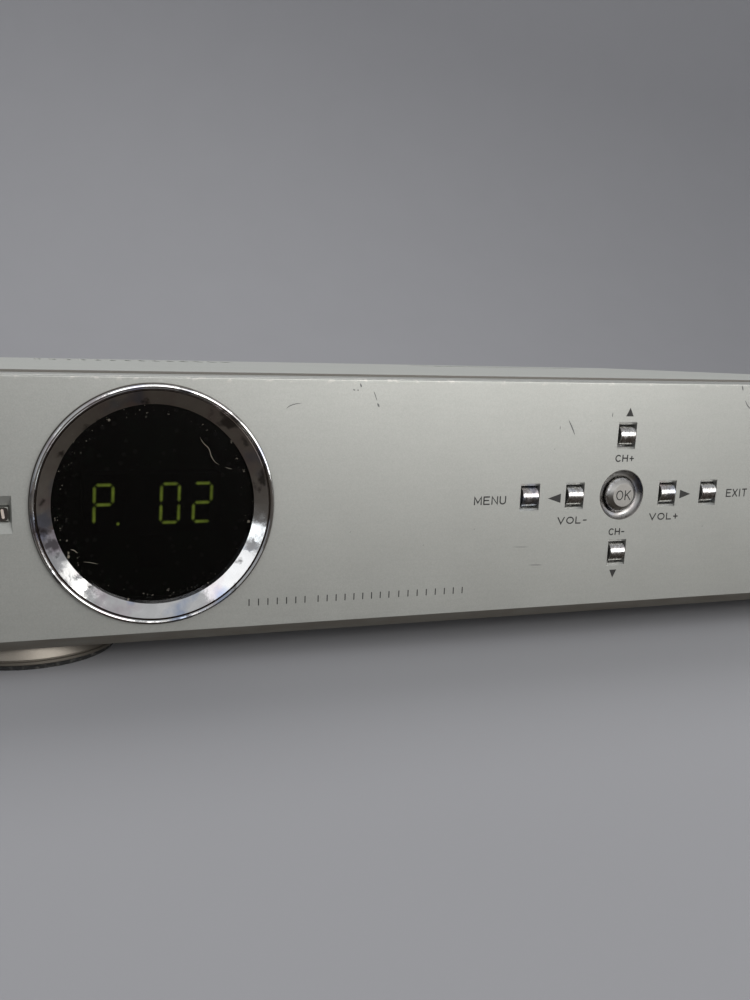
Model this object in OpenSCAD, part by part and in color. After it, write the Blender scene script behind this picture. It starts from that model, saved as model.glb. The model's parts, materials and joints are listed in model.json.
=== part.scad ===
// Satellite television receiver: a moulded front with a round display window and a cross of
// keys, a folded steel case on round feet, and the boards and sockets inside it.
// X runs to the right, Y to the back and Z up. The origin is on the floor under the middle.
// A depth is measured backwards from the flat front face, in millimetres like all sizes.

/* [Case] */
// Width of the front moulding
case_w = 340; // [320:1:380]
// Front face to the outer face of the rear panel
case_d = 222; // [220:1:260]
// Height of the flat front face
face_h = 60; // [59:0.5:72]
// Floor to the lower edge of the front face
face_lift = 9; // [8.5:0.5:14]
// Drop of the bevelled lower edge below the front face
bevel_drop = 3; // [2:0.5:3.5]
// Rounding of the moulding's upper front edge
top_round = 0.5; // [0.4:0.1:2]
// Rounding of the moulding's upright front corners
corner_r = 3; // [1:0.5:6]
// Depth of the front moulding
panel_d = 16; // [16:0.5:22]
// Wall of the front moulding
panel_wall = 2.5; // [2.2:0.1:3]
// Height of the cover above the front moulding
cover_rise = 0.6; // [0.2:0.1:1.2]
// Step from the moulding's side to the cover's side
cover_inset = 0.5; // [0.3:0.1:1]
// Outer radius of the cover's two long bends
cover_bend = 2; // [1.4:0.1:3]
// Depth of the cover's rear lip
rear_lip = 7; // [6.5:0.5:9]
// Thickness of the sheet steel
sheet_t = 0.8; // [0.6:0.1:1.2]
// Underside of the front moulding to the underside of the chassis
chassis_step = 0.4; // [0.2:0.1:1]
// Height of the chassis's side flanges
side_flange_h = 14; // [12:1:20]

/* [Feet] */
// Radius of a foot at its lip
foot_r = 23.5; // [18:0.5:24]
// Distance of the feet from the case's sides
foot_inset_x = 40; // [36:1:60]
// Depth of the front feet behind the front face
foot_front_d = 28; // [27:1:40]
// Distance of the rear feet from the rear panel
foot_rear_d = 38; // [38:1:50]
// Thickness of the rubber pads
pad_t = 1.2; // [0.8:0.1:2]
// Outer radius of the rubber pads
pad_r = 22.4; // [17:0.1:22.8]
// Inner radius of the rubber pads
pad_hole_r = 13; // [8:0.5:15]
// Radius of the raised seat on top of a foot
foot_seat_r = 10; // [6:0.5:11.5]

/* [Window] */
// Moulding's left side to the window's centre
window_inset = 70; // [68:1:76]
// Height of the window's centre above the lower edge of the face
window_rise = 30.3; // [29.8:0.1:31]
// Radius of the clear window
window_r = 23.4; // [22:0.1:23.8]
// Outer radius of the chrome ring
ring_r = 28; // [27.6:0.1:28.6]
// How far the ring stands proud of the face
ring_proud = 1.5; // [1.2:0.1:2.2]
// Width of the ring's outer bead
bead_w = 1.1; // [0.8:0.1:1.3]
// Outer radius of the ring's barrel, behind the face
barrel_r = 26.2; // [26:0.1:26.4]
// Wall of the ring's barrel
barrel_wall = 0.9; // [0.7:0.1:1]
// Depth of the ring's inner edge behind the face
ring_inner_d = 0.5; // [0.2:0.1:1]
// Depth of the lens's front behind the face
lens_d = 1.9; // [1.6:0.1:2.4]
// Thickness of the lens
lens_t = 2.2; // [1.5:0.1:2.4]

/* [Display] */
// Width of the display block
display_w = 32; // [31:0.5:36]
// Height of the display block
display_h = 14; // [13:0.5:18]
// Gap between the lens and the display block
display_gap = 0.9; // [0.6:0.1:1.2]
// Number of digits
digit_count = 4; // [2:1:4]
// Pitch of the digits
digit_pitch = 7.7; // [7:0.1:7.8]
// Height of a digit
digit_h = 10.2; // [8:0.1:11]
// Width of a digit
digit_w = 5.2; // [4.4:0.1:5.4]
// Width of a segment
segment_w = 0.85; // [0.6:0.05:1]
// Gap between two segments
segment_gap = 0.2; // [0.1:0.05:0.3]
// Slant of the digits in degrees
digit_slant = 2.5; // [0:0.5:8]
// Thickness of the light segments
segment_t = 0.3; // [0.2:0.1:0.5]

/* [Keys] */
// Moulding's right side to the centre of the cross of keys
nav_inset = 144.9; // [140:0.1:146]
// Height of the cross's centre above the lower edge of the face
nav_rise = 30; // [29.5:0.1:31]
// Centre key to the volume keys
vol_step = 14.5; // [14:0.1:15.5]
// Centre key to the menu and exit keys
menu_step = 27.9; // [26:0.1:28.5]
// Centre key to the channel keys
ch_step = 15.9; // [15:0.1:16.5]
// Width of a small key
key_w = 4.5; // [4:0.1:5]
// Height of a small key
key_h = 5.4; // [4.6:0.1:5.6]
// Gap above and below a small key, and round the centre key and the standby key
key_gap = 0.3; // [0.25:0.05:0.45]
// Gap at each side of a small key
key_side_gap = 0.55; // [0.3:0.05:0.6]
// Height of the bevels above and below a small key
key_bevel = 0.6; // [0.2:0.1:0.8]
// How far a small key's crown stands proud of the face
key_proud = 0.8; // [0.7:0.1:2]
// Radius of a small key's barrel front
key_barrel_r = 2.8; // [2.8:0.05:3.4]
// Radius of the centre key's foot
ok_r = 4.6; // [4:0.1:4.8]
// Radius of the centre key's flat top
ok_top_r = 3.1; // [2.4:0.1:3.6]
// How far the centre key stands proud of the face
ok_proud = 0.8; // [0.6:0.1:1.5]
// Radius of the dish round the centre key, at the face
dish_r = 6.65; // [6:0.05:7]
// Depth of the dish round the centre key
dish_d = 1.4; // [0.8:0.1:1.6]
// Moulding's left side to the centre of the standby key
standby_inset = 36; // [34:0.1:37]
// Height of the standby key above the lower edge of the face
standby_rise = 29.3; // [28:0.1:31]
// Width of the standby key
standby_w = 3.1; // [3.1:0.1:3.8]
// Height of the standby key
standby_h = 3.2; // [3.1:0.1:4.6]
// Width of the standby key's funnel at the face
funnel_w = 4.6; // [4.6:0.1:6]
// Height of the standby key's funnel at the face
funnel_h = 8.5; // [7:0.1:9]
// Depth of the standby key's funnel
funnel_d = 1.6; // [1.2:0.1:1.8]
// Depth of the standby key's front behind the face
standby_d = 1.1; // [0.8:0.1:1.5]
// Travel of every key
key_travel = 0.5; // [0.3:0.1:0.6]

/* [Key works] */
// Thickness of the retaining flange on a key
flange_t = 1; // [0.8:0.1:1.2]
// How far a flange reaches past its key on each side
flange_lip = 1.2; // [0.8:0.1:1.4]
// Free gap between a fully pressed flange and the key guide
guide_gap = 0.4; // [0.3:0.1:0.5]
// Thickness of the key guide
guide_t = 1.5; // [1.2:0.1:1.8]
// Width of a key's square stem
stem_w = 3; // [2.4:0.1:3.2]
// Length of the stem behind the key guide
stem_out = 1.4; // [1.2:0.1:1.6]
// Radius of a switch's plunger
plunger_r = 1.7; // [1.4:0.1:1.8]
// Length of the plunger in front of the switch
plunger_out = 0.9; // [0.85:0.05:1.1]
// Length of the plunger inside the switch
plunger_in = 1.1; // [0.9:0.1:1.3]
// Width of a push switch
switch_w = 6; // [5.5:0.1:6.4]
// Thickness of a push switch
switch_t = 3.5; // [3.2:0.1:3.6]

/* [Boards] */
// Thickness of a circuit board
board_t = 1.6; // [1.2:0.1:1.8]
// Height of the board standoffs
standoff_h = 6; // [5:0.5:8]
// Radius of the board standoffs
standoff_r = 3; // [2.6:0.1:3.5]
// Gap between a board's rear edge and the rear panel
board_rear_gap = 0.4; // [0.2:0.1:1]
// Gap between a board and the case's side
board_side_gap = 7; // [5:0.5:7]
// Gap between the two boards
board_gap = 4; // [3:0.5:8]
// Depth of the main board
main_d = 120; // [110:1:130]
// Width of the power board
power_w = 50; // [46:1:56]
// Depth of the power board
power_d = 150; // [148:1:160]
// Margin of the front board above and below, inside the face's height
front_board_margin = 6; // [6:0.5:7]
// Width of the ribbon cable
ribbon_w = 20; // [14:1:24]
// Thickness of the ribbon cables
ribbon_t = 0.9; // [0.6:0.1:1.2]
// Inner radius of the ribbon cable's bend
ribbon_bend_r = 6; // [4:0.5:8]
// Height of the cable plugs on the boards
header_h = 8; // [6:0.5:10]
// Thickness of the cable plugs on the boards
header_d = 6; // [5:0.5:7]
// Width of the supply cable
supply_w = 14; // [10:1:16]
// Rear edge of the boards to the middle of the supply cable
supply_back = 54; // [50:1:56]

/* [Board parts] */
// Width of the decoder chip
chip_w = 31; // [24:1:34]
// Thickness of the decoder chip
chip_t = 2.4; // [2:0.1:3]
// Rear edge of the boards to the middle of the decoder chip
chip_back = 84; // [80:1:88]
// Width of the decoder's heatsink
sink_w = 38; // [35:1:40]
// Thickness of the base of the decoder's heatsink
sink_base_t = 2.5; // [2:0.1:4]
// Height of its fins
sink_fin_h = 11; // [8:1:16]
// Thickness of its fins
sink_fin_t = 1.2; // [0.8:0.1:1.6]
// Middle of the main board to the middle of the decoder chip, leftwards
chip_left = 40; // [36:1:44]
// Middle of the main board to the left side of the memory chips
memory_right = 10; // [6:1:14]
// Width of a memory chip
memory_w = 22; // [18:1:24]
// Depth of a memory chip
memory_d = 10; // [8:0.5:12]
// Thickness of a memory chip
memory_t = 1.2; // [1:0.1:1.6]
// Pitch of the memory chips
memory_pitch = 15; // [13:1:17]
// Width of the transformer's core
core_w = 34; // [28:1:35]
// Depth of its core
core_d = 14; // [10:1:18]
// Height of its core
core_h = 24; // [18:1:32]
// Width of its winding
coil_w = 24; // [18:1:26]
// Depth of its winding
coil_d = 28; // [22:1:30]
// Height of its winding
coil_h = 19; // [14:1:22]
// Rear edge of the boards to the middle of the transformer
transformer_back = 104; // [100:1:108]
// Radius of the input capacitor
input_cap_r = 10; // [8:0.5:10.5]
// Height of the input capacitor
input_cap_h = 30; // [24:1:40]
// Rear edge of the boards to the middle of the input capacitor
input_cap_back = 60; // [56:1:64]
// Radius of an output capacitor
output_cap_r = 5; // [4:0.5:5.5]
// Height of an output capacitor
output_cap_h = 20; // [14:1:30]
// Pitch of the output capacitors
output_cap_pitch = 13.5; // [12:0.5:14]
// Front edge of the power board to the middle of the first output capacitors
output_cap_front = 8; // [7:0.5:10]
// Height of the finned plate on the power board
plate_h = 32; // [24:1:40]
// Length of the finned plate
plate_l = 38; // [34:1:40]
// Thickness of the finned plate
plate_t = 2.5; // [2:0.1:3]
// Reach of its fins
plate_fin = 6.5; // [4:0.5:7]
// Rear edge of the boards to the rear end of the finned plate
plate_back = 66; // [62:1:70]
// Radius of the fuse
fuse_r = 2.6; // [2.5:0.1:3.2]
// Length of the fuse
fuse_l = 20; // [18:0.5:21]
// Rear edge of the boards to the rear end of the fuse
fuse_back = 20; // [18:1:24]

/* [Sockets] */
// Radius of the threaded dish connectors
dish_plug_r = 4.76; // [4.7:0.01:4.8]
// Length of a dish connector behind the rear panel's outer face
dish_plug_l = 10.5; // [9:0.5:12]
// Pitch of the two dish connectors
dish_plug_pitch = 18; // [17:0.5:20]
// Outer radius of a phono socket's shell
phono_r = 4.15; // [4.1:0.01:4.2]
// Length of a phono socket's shell
phono_l = 7.6; // [7:0.1:9]
// Pitch of the phono sockets
phono_pitch = 13; // [12:0.5:14]
// Width of a scart socket
scart_w = 52; // [51:0.5:54]
// Height of a scart socket
scart_h = 15; // [14.5:0.5:17]
// Depth of a scart socket inside the case
scart_d = 18; // [16:1:22]
// Width of the tuner can
tuner_w = 42; // [40:1:46]
// Height of the tuner can
tuner_h = 15; // [13:0.5:20]
// Length of the tuner can
tuner_l = 57; // [45:1:58]
// Width of the phono sockets' block
rca_w = 13; // [12:0.5:16]
// Depth of the phono sockets' block
rca_d = 13; // [10:0.5:16]
// Pitch of the serial socket's jack posts
post_pitch = 25; // [24.9:0.1:25.1]
// Radius of the tapped hole in a jack post
post_hole_r = 1.2; // [1.1:0.05:1.3]
// Pitch of the mains pins
pin_pitch = 8.6; // [8.4:0.1:8.8]
// Radius of the mains pins
pin_r = 1.2; // [1.15:0.01:1.25]
// Radius of the mains inlet's rounded ends
inlet_end_r = 4; // [3.8:0.1:4.2]
// Radius of the mains rocker's round body
rocker_r = 7; // [6.5:0.1:7.2]
// Width of the mains rocker
rocker_w = 9; // [8:0.1:9.2]
// Tilt of the mains rocker each side of level, in degrees
rocker_tilt = 11; // [8:1:12]

/* [Screws] */
// Radius of a case screw's shank
case_screw_r = 1.45; // [1.3:0.05:1.6]
// Radius of a case screw's head
case_head_r = 2.9; // [2.6:0.1:3.1]
// Height of a case screw's head
case_head_h = 1.6; // [1.2:0.1:1.8]
// Length of a case screw's shank
case_screw_l = 6; // [5:0.5:6]
// Radius of a board screw's shank
board_screw_r = 1.2; // [1:0.05:1.3]
// Radius of a board screw's head
board_head_r = 2.4; // [2:0.1:2.6]
// Height of a board screw's head
board_head_h = 1.3; // [1:0.1:1.5]
// Length of a board screw's shank
board_screw_l = 6; // [5:0.5:6]
// Radius of a screw boss behind the face
boss_r = 3; // [2.8:0.1:3.5]
// Front face to the first screw in each side
side_screw_first_d = 60; // [50:1:80]
// Rear panel to the last screw in each side
side_screw_last_d = 30; // [20:1:36]
// Cover's side to the outer screws in the rear panel
rear_screw_inset = 20; // [14:1:40]
// Middle to each screw in the floor
floor_screw_x = 60; // [40:1:90]

/* [Vents] */
// Width of a vent slot
vent_w = 2.6; // [1.6:0.1:3]
// Pitch of the vent slots
vent_pitch = 6; // [5:0.5:8]
// Number of slots in each field on the top
vent_top_count = 14; // [6:1:15]
// Length of a slot in the top
vent_top_l = 24; // [16:1:36]
// Rear panel to the middle of the slots in the top
vent_top_back = 32; // [30:1:80]
// Number of slots in each side
vent_side_count = 12; // [6:1:14]
// Length of a slot in the sides
vent_side_l = 22; // [14:1:26]
// Number of slots under the main board
vent_floor_count = 12; // [6:1:13]
// Length of a slot in the floor
vent_floor_l = 34; // [20:1:40]

/* [Hidden] */
$fn = 48;

// Clearances
slip = 0.2;          // round something that passes through a cut-out
thread_gap = 0.05;   // between a screw's shank and the hole that it bites into
seat_gap = 0.1;      // round something pushed into a round seat
run_gap = 0.07;      // round the rocker's trunnions
past = 1;            // how far a cutting shape runs past what it cuts

// Levels
low_z = face_lift - bevel_drop;
face_top = face_lift + face_h;
chassis_z = low_z + chassis_step;
floor_top = chassis_z + sheet_t;
cover_top = face_top + cover_rise;
cover_under = cover_top - sheet_t;
foot_head_z = pad_t + 2.8;
board_z = floor_top + standoff_h;
board_top = board_z + board_t;
window_z = face_lift + window_rise;
nav_z = face_lift + nav_rise;
standby_z = face_lift + standby_rise;

// Depths behind the front face
flange_depth = panel_wall + key_gap;
guide_depth = flange_depth + flange_t + key_travel + guide_gap;
stem_end_depth = guide_depth + guide_t + stem_out;
switch_depth = stem_end_depth + plunger_out;
front_board_depth = switch_depth + switch_t;
front_board_back = front_board_depth + board_t;
display_depth = lens_d + lens_t + display_gap;
rear_inner = case_d - sheet_t;
board_rear_depth = rear_inner - board_rear_gap;

// Places across the width
window_x = -case_w / 2 + window_inset;
nav_x = case_w / 2 - nav_inset;
standby_x = -case_w / 2 + standby_inset;
cover_half = case_w / 2 - cover_inset;
inner_half = cover_half - sheet_t;
foot_x = case_w / 2 - foot_inset_x;
power_x0 = board_side_gap - case_w / 2;
power_x1 = power_x0 + power_w;
main_x0 = power_x1 + board_gap;
main_x1 = case_w / 2 - board_side_gap;
main_x = (main_x0 + main_x1) / 2;

// The inlet and the switch stand evenly along the power board's rear edge
inlet_half = [11, 8];
inlet_lip = [13, 9.5];
switch_half = [6.4, 9.5];
switch_lip = [7.6, 10.6];
power_gap = (power_w - 2 * inlet_lip[0] - 2 * switch_lip[0]) / 3;
inlet_x = power_x0 + power_gap + inlet_lip[0];
switch_x = power_x1 - power_gap - switch_lip[0];

// The sockets stand evenly along the main board's rear edge
serial_half = [15.4, 6.25];
socket_gap = (main_x1 - main_x0 - 2 * serial_half[0] - 2 * scart_w - rca_w - tuner_w) / 6;
serial_x = main_x0 + socket_gap + serial_half[0];
scart_tv_x = serial_x + serial_half[0] + socket_gap + scart_w / 2;
scart_vcr_x = scart_tv_x + scart_w + socket_gap;
rca_x = scart_vcr_x + scart_w / 2 + socket_gap + rca_w / 2;
tuner_x = rca_x + rca_w / 2 + socket_gap + tuner_w / 2;

// The whole depth, from the frontmost key or ring to the ends of the dish connectors
front_proud = max(ring_proud, key_proud);
face_y = front_proud - (front_proud + case_d + dish_plug_l) / 2;

// Each small key of the cross: name, offset across, offset up
CROSS = [["menu", -menu_step, 0], ["vol_down", -vol_step, 0], ["vol_up", vol_step, 0],
    ["exit", menu_step, 0], ["ch_up", 0, ch_step], ["ch_down", 0, -ch_step]];
// Every key's centre, as x and z
KEY_CENTRES = concat([for (k = CROSS) [nav_x + k[1], nav_z + k[2]]],
    [[nav_x, nav_z], [standby_x, standby_z]]);

// The front board reaches past the standby key and past the exit key
past_standby = 8;
past_exit = 18;
front_board_x0 = standby_x - past_standby;
front_board_x1 = nav_x + menu_step + past_exit;
front_board_z0 = face_lift + front_board_margin;
front_board_z1 = face_top - front_board_margin;

// Screw places, as distances from the edges that they hold
edge_margin = 5;     // of most screws
front_margin = 4;    // of the front board's screws
guide_margin = 3;    // of the key guide's screws
guide_half = [menu_step + guide_margin + 3.1, ch_step + guide_margin + 2.1];
FRONT_BOSSES = [for (x = [front_board_x0 + front_margin, window_x + ring_r + edge_margin,
    front_board_x1 - front_margin],
    z = [front_board_z0 + front_margin, front_board_z1 - front_margin]) [x, z]];
GUIDE_BOSSES = [for (sx = [-1, 1], sz = [-1, 1])
    [nav_x + sx * (guide_half[0] - guide_margin), nav_z + sz * (guide_half[1] - guide_margin)]];
CHASSIS_BOSSES = [for (sx = [-1, 1],
    z = [low_z + panel_wall + edge_margin, face_top - panel_wall - edge_margin])
    [sx * (case_w / 2 - panel_wall - edge_margin - 1.5), z]];
FEET = [[-foot_x, foot_front_d], [foot_x, foot_front_d],
    [-foot_x, case_d - foot_rear_d], [foot_x, case_d - foot_rear_d]];
SIDE_SCREW_DEPTHS = [side_screw_first_d, case_d - side_screw_last_d];
side_screw_z = chassis_z + side_flange_h - edge_margin;
REAR_SCREW_X = [rear_screw_inset - cover_half, 0, cover_half - rear_screw_inset];
rear_screw_z = cover_top - rear_lip + case_head_r + slip;
FLOOR_SCREW_X = [-floor_screw_x, floor_screw_x];
floor_screw_depth = rear_inner - edge_margin;
main_hole_back = 70;     // rear edge of the boards to the rear screws of the main board
power_hole_back = 24;    // and to those of the power board
MAIN_HOLES = [for (x = [main_x0 + edge_margin, main_x, main_x1 - edge_margin],
    d = [board_rear_depth - main_d + edge_margin, board_rear_depth - main_hole_back]) [x, d]];
POWER_HOLES = [for (x = [power_x0 + front_margin, power_x1 - front_margin],
    d = [board_rear_depth - power_d + edge_margin, board_rear_depth - power_hole_back])
    [x, d]];

// Socket sizes that other pieces share
phono_core_r = 3.2;
phono_lip_t = 1.2;
phono_margin = 8;    // from the phono block's foot and top to the nearest socket
phono_seat_d = 5;    // depth of the insert's seat in the block
PHONO_Z = [for (i = [0 : 2]) board_top + phono_margin + i * phono_pitch];
rocker_pivot = -1;
trunnion_r = 1.2;

// The ribbon cable's middle and its plug on the main board
ribbon_inset = 40;   // from the main board's left edge
ribbon_margin = 7;   // from its front edge
ribbon_rise = 2;     // from the top of the plug to the start of the bend
ribbon_z = board_top + header_h + ribbon_rise + ribbon_bend_r + ribbon_t / 2;
ribbon_x = main_x0 + ribbon_inset;
ribbon_end_depth = board_rear_depth - main_d + ribbon_margin;

// Moves its children to a place given by x, depth and height
module at(x, depth, z) { translate([x, face_y + depth, z]) children(); }

// Turns its children's +Z to the back
module backward() { rotate([-90, 0, 0]) children(); }

// A box given by its ranges across, in depth and in height
module block(x, depth, z) {
    at(x[0], depth[0], z[0]) cube([x[1] - x[0], depth[1] - depth[0], z[1] - z[0]]);
}

// A box centred on x and z, between two depths
module plug_block(x, z, half, depth) {
    block([x - half[0], x + half[0]], depth, [z - half[1], z + half[1]]);
}

// A round bar along the depth
module rod(x, z, r, depth) {
    at(x, depth[0], z) backward() cylinder(r = r, h = depth[1] - depth[0]);
}

// A slot with round ends, length along Y, cut downwards through z = 0
module slot_cut(len, wid, thick) {
    translate([0, 0, -past]) linear_extrude(thick + 2 * past) {
        square([wid, len - wid], center = true);
        for (s = [-1, 1]) translate([0, s * (len - wid) / 2]) circle(d = wid);
    }
}

// A pan-head screw whose head sits on z = 0 and whose shank points down
module screw(shank_r, shank_l, head_r, head_h) {
    difference() {
        union() {
            cylinder(r1 = head_r, r2 = head_r - head_h / 3, h = head_h);
            translate([0, 0, -shank_l]) cylinder(r = shank_r, h = shank_l);
        }
        for (turn = [0, 90]) rotate([0, 0, turn])
            translate([-head_r * 0.55, -0.3, head_h * 0.4]) cube([head_r * 1.1, 0.6, head_h]);
    }
}
module case_screw() { screw(case_screw_r, case_screw_l, case_head_r, case_head_h); }
module board_screw(len) { screw(board_screw_r, len, board_head_r, board_head_h); }

// ---- front moulding ----

// Outline of the moulding seen from its end: depth across, height up
module panel_section() {
    rounded = [for (a = [0 : 15 : 90])
        [top_round * (1 - cos(a)), face_top - top_round * (1 - sin(a))]];
    polygon(concat([[panel_d, low_z], [bevel_drop, low_z], [0, face_lift]], rounded,
        [[panel_d, face_top]]));
}

// Outline of the moulding seen from above, with its rounded front corners
module panel_plan() {
    half = case_w / 2;
    left = [for (a = [0 : 15 : 90])
        [-half + corner_r * (1 - cos(a)), corner_r * (1 - sin(a))]];
    right = [for (i = [len(left) - 1 : -1 : 0]) [-left[i][0], left[i][1]]];
    polygon(concat([[-half, panel_d]], left, right, [[half, panel_d]]));
}

module key_hole(x, z) {
    half_w = key_w / 2 + key_side_gap;
    half_h = key_h / 2 + key_gap;
    plug_block(x, z, [half_w, half_h], [-past, panel_wall + past]);
    at(x, 0, z) rotate([90, 0, 90]) linear_extrude(2 * half_w, center = true)
        polygon([[-past, half_h + key_bevel + past], [key_bevel, half_h],
            [key_bevel, -half_h], [-past, -half_h - key_bevel - past]]);
}

// Round hole with a bowl-shaped dish in front of it
module ok_hole() {
    throat_r = ok_r + key_gap + 0.05;
    bowl = [for (a = [0 : 15 : 90])
        [throat_r + (dish_r - throat_r) * cos(a), dish_d * sin(a)]];
    rod(nav_x, nav_z, throat_r, [-past, panel_wall + past]);
    at(nav_x, 0, nav_z) backward() rotate_extrude($fn = 64)
        polygon(concat([[0, -past], [dish_r, -past]], bowl, [[0, dish_d]]));
}

// Four sloping walls that narrow to the standby key
module standby_hole() {
    throat = [standby_w / 2 + key_gap, standby_h / 2 + key_gap];
    plug_block(standby_x, standby_z, throat, [-past, panel_wall + past]);
    slope = [(funnel_w / 2 - throat[0]) / funnel_d, (funnel_h / 2 - throat[1]) / funnel_d];
    intersection() {
        at(standby_x, 0, standby_z) linear_extrude(2 * funnel_h, center = true)
            polygon([[-throat[0], funnel_d], [throat[0], funnel_d],
                [throat[0] + slope[0] * (funnel_d + past), -past],
                [-throat[0] - slope[0] * (funnel_d + past), -past]]);
        at(standby_x, 0, standby_z) rotate([90, 0, 90])
            linear_extrude(4 * funnel_w, center = true)
            polygon([[funnel_d, -throat[1]], [funnel_d, throat[1]],
                [-past, throat[1] + slope[1] * (funnel_d + past)],
                [-past, -throat[1] - slope[1] * (funnel_d + past)]]);
    }
}

// Square sleeve behind the face that guides the standby key's flange
module standby_sleeve() {
    inner = [standby_w / 2 + flange_lip + key_gap, standby_h / 2 + flange_lip + key_gap];
    wall = 1.2;
    difference() {
        plug_block(standby_x, standby_z, [inner[0] + wall, inner[1] + wall],
            [panel_wall - 0.1, guide_depth]);
        plug_block(standby_x, standby_z, inner, [0, guide_depth + past]);
    }
}

module front_panel() {
    color("silver") difference() {
        union() {
            difference() {
                intersection() {
                    at(0, 0, 0) rotate([90, 0, 90]) linear_extrude(case_w, center = true)
                        panel_section();
                    at(0, 0, 0) linear_extrude(face_top + past) panel_plan();
                }
                block([-case_w / 2 + panel_wall, case_w / 2 - panel_wall],
                    [panel_wall, panel_d + past],
                    [low_z + panel_wall, face_top - panel_wall]);
            }
            for (p = FRONT_BOSSES) rod(p[0], p[1], boss_r, [panel_wall / 2, front_board_depth]);
            for (p = GUIDE_BOSSES) rod(p[0], p[1], boss_r, [panel_wall / 2, guide_depth]);
            for (p = CHASSIS_BOSSES) rod(p[0], p[1], boss_r + 0.4, [panel_wall / 2, panel_d]);
            standby_sleeve();
        }
        rod(window_x, window_z, barrel_r + slip, [-past, panel_wall + past]);
        for (k = CROSS) key_hole(nav_x + k[1], nav_z + k[2]);
        ok_hole();
        standby_hole();
        for (p = FRONT_BOSSES) rod(p[0], p[1], board_screw_r + thread_gap,
            [front_board_back - board_screw_l - 0.5, front_board_depth + past]);
        for (p = GUIDE_BOSSES) rod(p[0], p[1], board_screw_r + thread_gap,
            [panel_wall, guide_depth + past]);
        for (p = CHASSIS_BOSSES) rod(p[0], p[1], case_screw_r + thread_gap,
            [panel_d - case_screw_l, panel_d + past]);
    }
}

// ---- window ----

// Half section of the ring: radius across, depth up
module ring_section() {
    bead_c = [ring_r - bead_w / 2, bead_w / 2 - ring_proud];
    bead = [for (a = [0 : 30 : 180])
        [bead_c[0] + bead_w / 2 * cos(a), bead_c[1] - bead_w / 2 * sin(a)]];
    groove_w = 0.25;
    rim_r = ring_r - bead_w - groove_w;
    seat_r = barrel_r - barrel_wall;
    polygon(concat([[barrel_r, 0], [ring_r, 0]], bead,
        [[rim_r, bead_c[1]], [rim_r - 0.15, 0.2 - ring_proud], [window_r, ring_inner_d],
        [window_r, lens_d], [seat_r, lens_d], [seat_r, lens_d + lens_t + 0.4],
        [barrel_r, lens_d + lens_t + 0.4]]));
}

module window_ring() {
    color("gainsboro") at(window_x, 0, window_z) backward() rotate_extrude($fn = 96)
        ring_section();
}

module window_lens() {
    edge = 0.2;
    r = barrel_r - barrel_wall - seat_gap;
    color([0.03, 0.03, 0.04]) at(window_x, lens_d, window_z) backward()
        rotate_extrude($fn = 96)
        polygon([[0, 0], [r - edge, 0], [r, edge], [r, lens_t - edge], [r - edge, lens_t],
            [0, lens_t]]);
}

module display_module() {
    color("dimgray") plug_block(window_x, window_z, [display_w / 2, display_h / 2],
        [display_depth, front_board_depth]);
}

function slanted(p) = [p[0] + p[1] * tan(digit_slant), p[1]];

// Pointed bar along X (turn = 0) or along Z (turn = 1), centred on c
module segment(c, reach, turn) {
    t = segment_w / 2;
    flat = [[-reach, 0], [t - reach, t], [reach - t, t], [reach, 0], [reach - t, -t],
        [t - reach, -t]];
    polygon([for (p = flat) slanted(turn == 0 ? c + p : c + [p[1], p[0]])]);
}

// The seven segments and the point of one digit, centred on the origin
module digit_outline() {
    half_w = (digit_w - segment_w) / 2;
    half_h = (digit_h - segment_w) / 2;
    for (row = [-1 : 1]) segment([0, row * half_h], half_w - segment_gap / 2, 0);
    for (side = [-1, 1], row = [-0.5, 0.5])
        segment([side * half_w, row * half_h], half_h / 2 - segment_gap / 2, 1);
    translate(slanted([digit_w / 2 + 0.8, -half_h])) circle(r = segment_w / 2);
}

module digit_segments() {
    color([0.6, 0.75, 0.2]) for (i = [0 : digit_count - 1])
        at(window_x + (i - (digit_count - 1) / 2) * digit_pitch, display_depth, window_z)
            rotate([90, 0, 0]) linear_extrude(segment_t) digit_outline();
}

// Remote sensor on the front board, behind the lower part of the lens
module infrared_sensor() {
    z = window_z - display_h / 2 - 5.5;
    color([0.12, 0.05, 0.08]) {
        plug_block(window_x, z, [3, 3.5], [front_board_depth - 4.5, front_board_depth]);
        difference() {
            at(window_x, front_board_depth - 4.5, z) sphere(r = 2.4);
            plug_block(window_x, z, [4, 4], [front_board_depth - 4.5, front_board_depth]);
        }
    }
}

// ---- keys and their works ----

// Flange that holds a key behind the face, and the stem that pushes the switch
module key_tail(x, z, half) {
    plug_block(x, z, [half[0] + flange_lip, half[1] + flange_lip],
        [flange_depth, flange_depth + flange_t]);
    plug_block(x, z, [stem_w / 2, stem_w / 2], [flange_depth, stem_end_depth]);
}

module small_key(name) {
    k = CROSS[search([name], CROSS)[0]];
    x = nav_x + k[1];
    z = nav_z + k[2];
    color("gainsboro") {
        intersection() {
            union() {
                at(x, key_barrel_r - key_proud, z) rotate([0, 90, 0])
                    cylinder(r = key_barrel_r, h = key_w, center = true, $fn = 64);
                plug_block(x, z, [key_w / 2, key_h / 2],
                    [key_barrel_r - key_proud, flange_depth + flange_t]);
            }
            plug_block(x, z, [key_w / 2, key_h / 2],
                [-key_proud - past, flange_depth + flange_t / 2]);
        }
        key_tail(x, z, [key_w / 2, key_h / 2]);
    }
}

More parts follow.
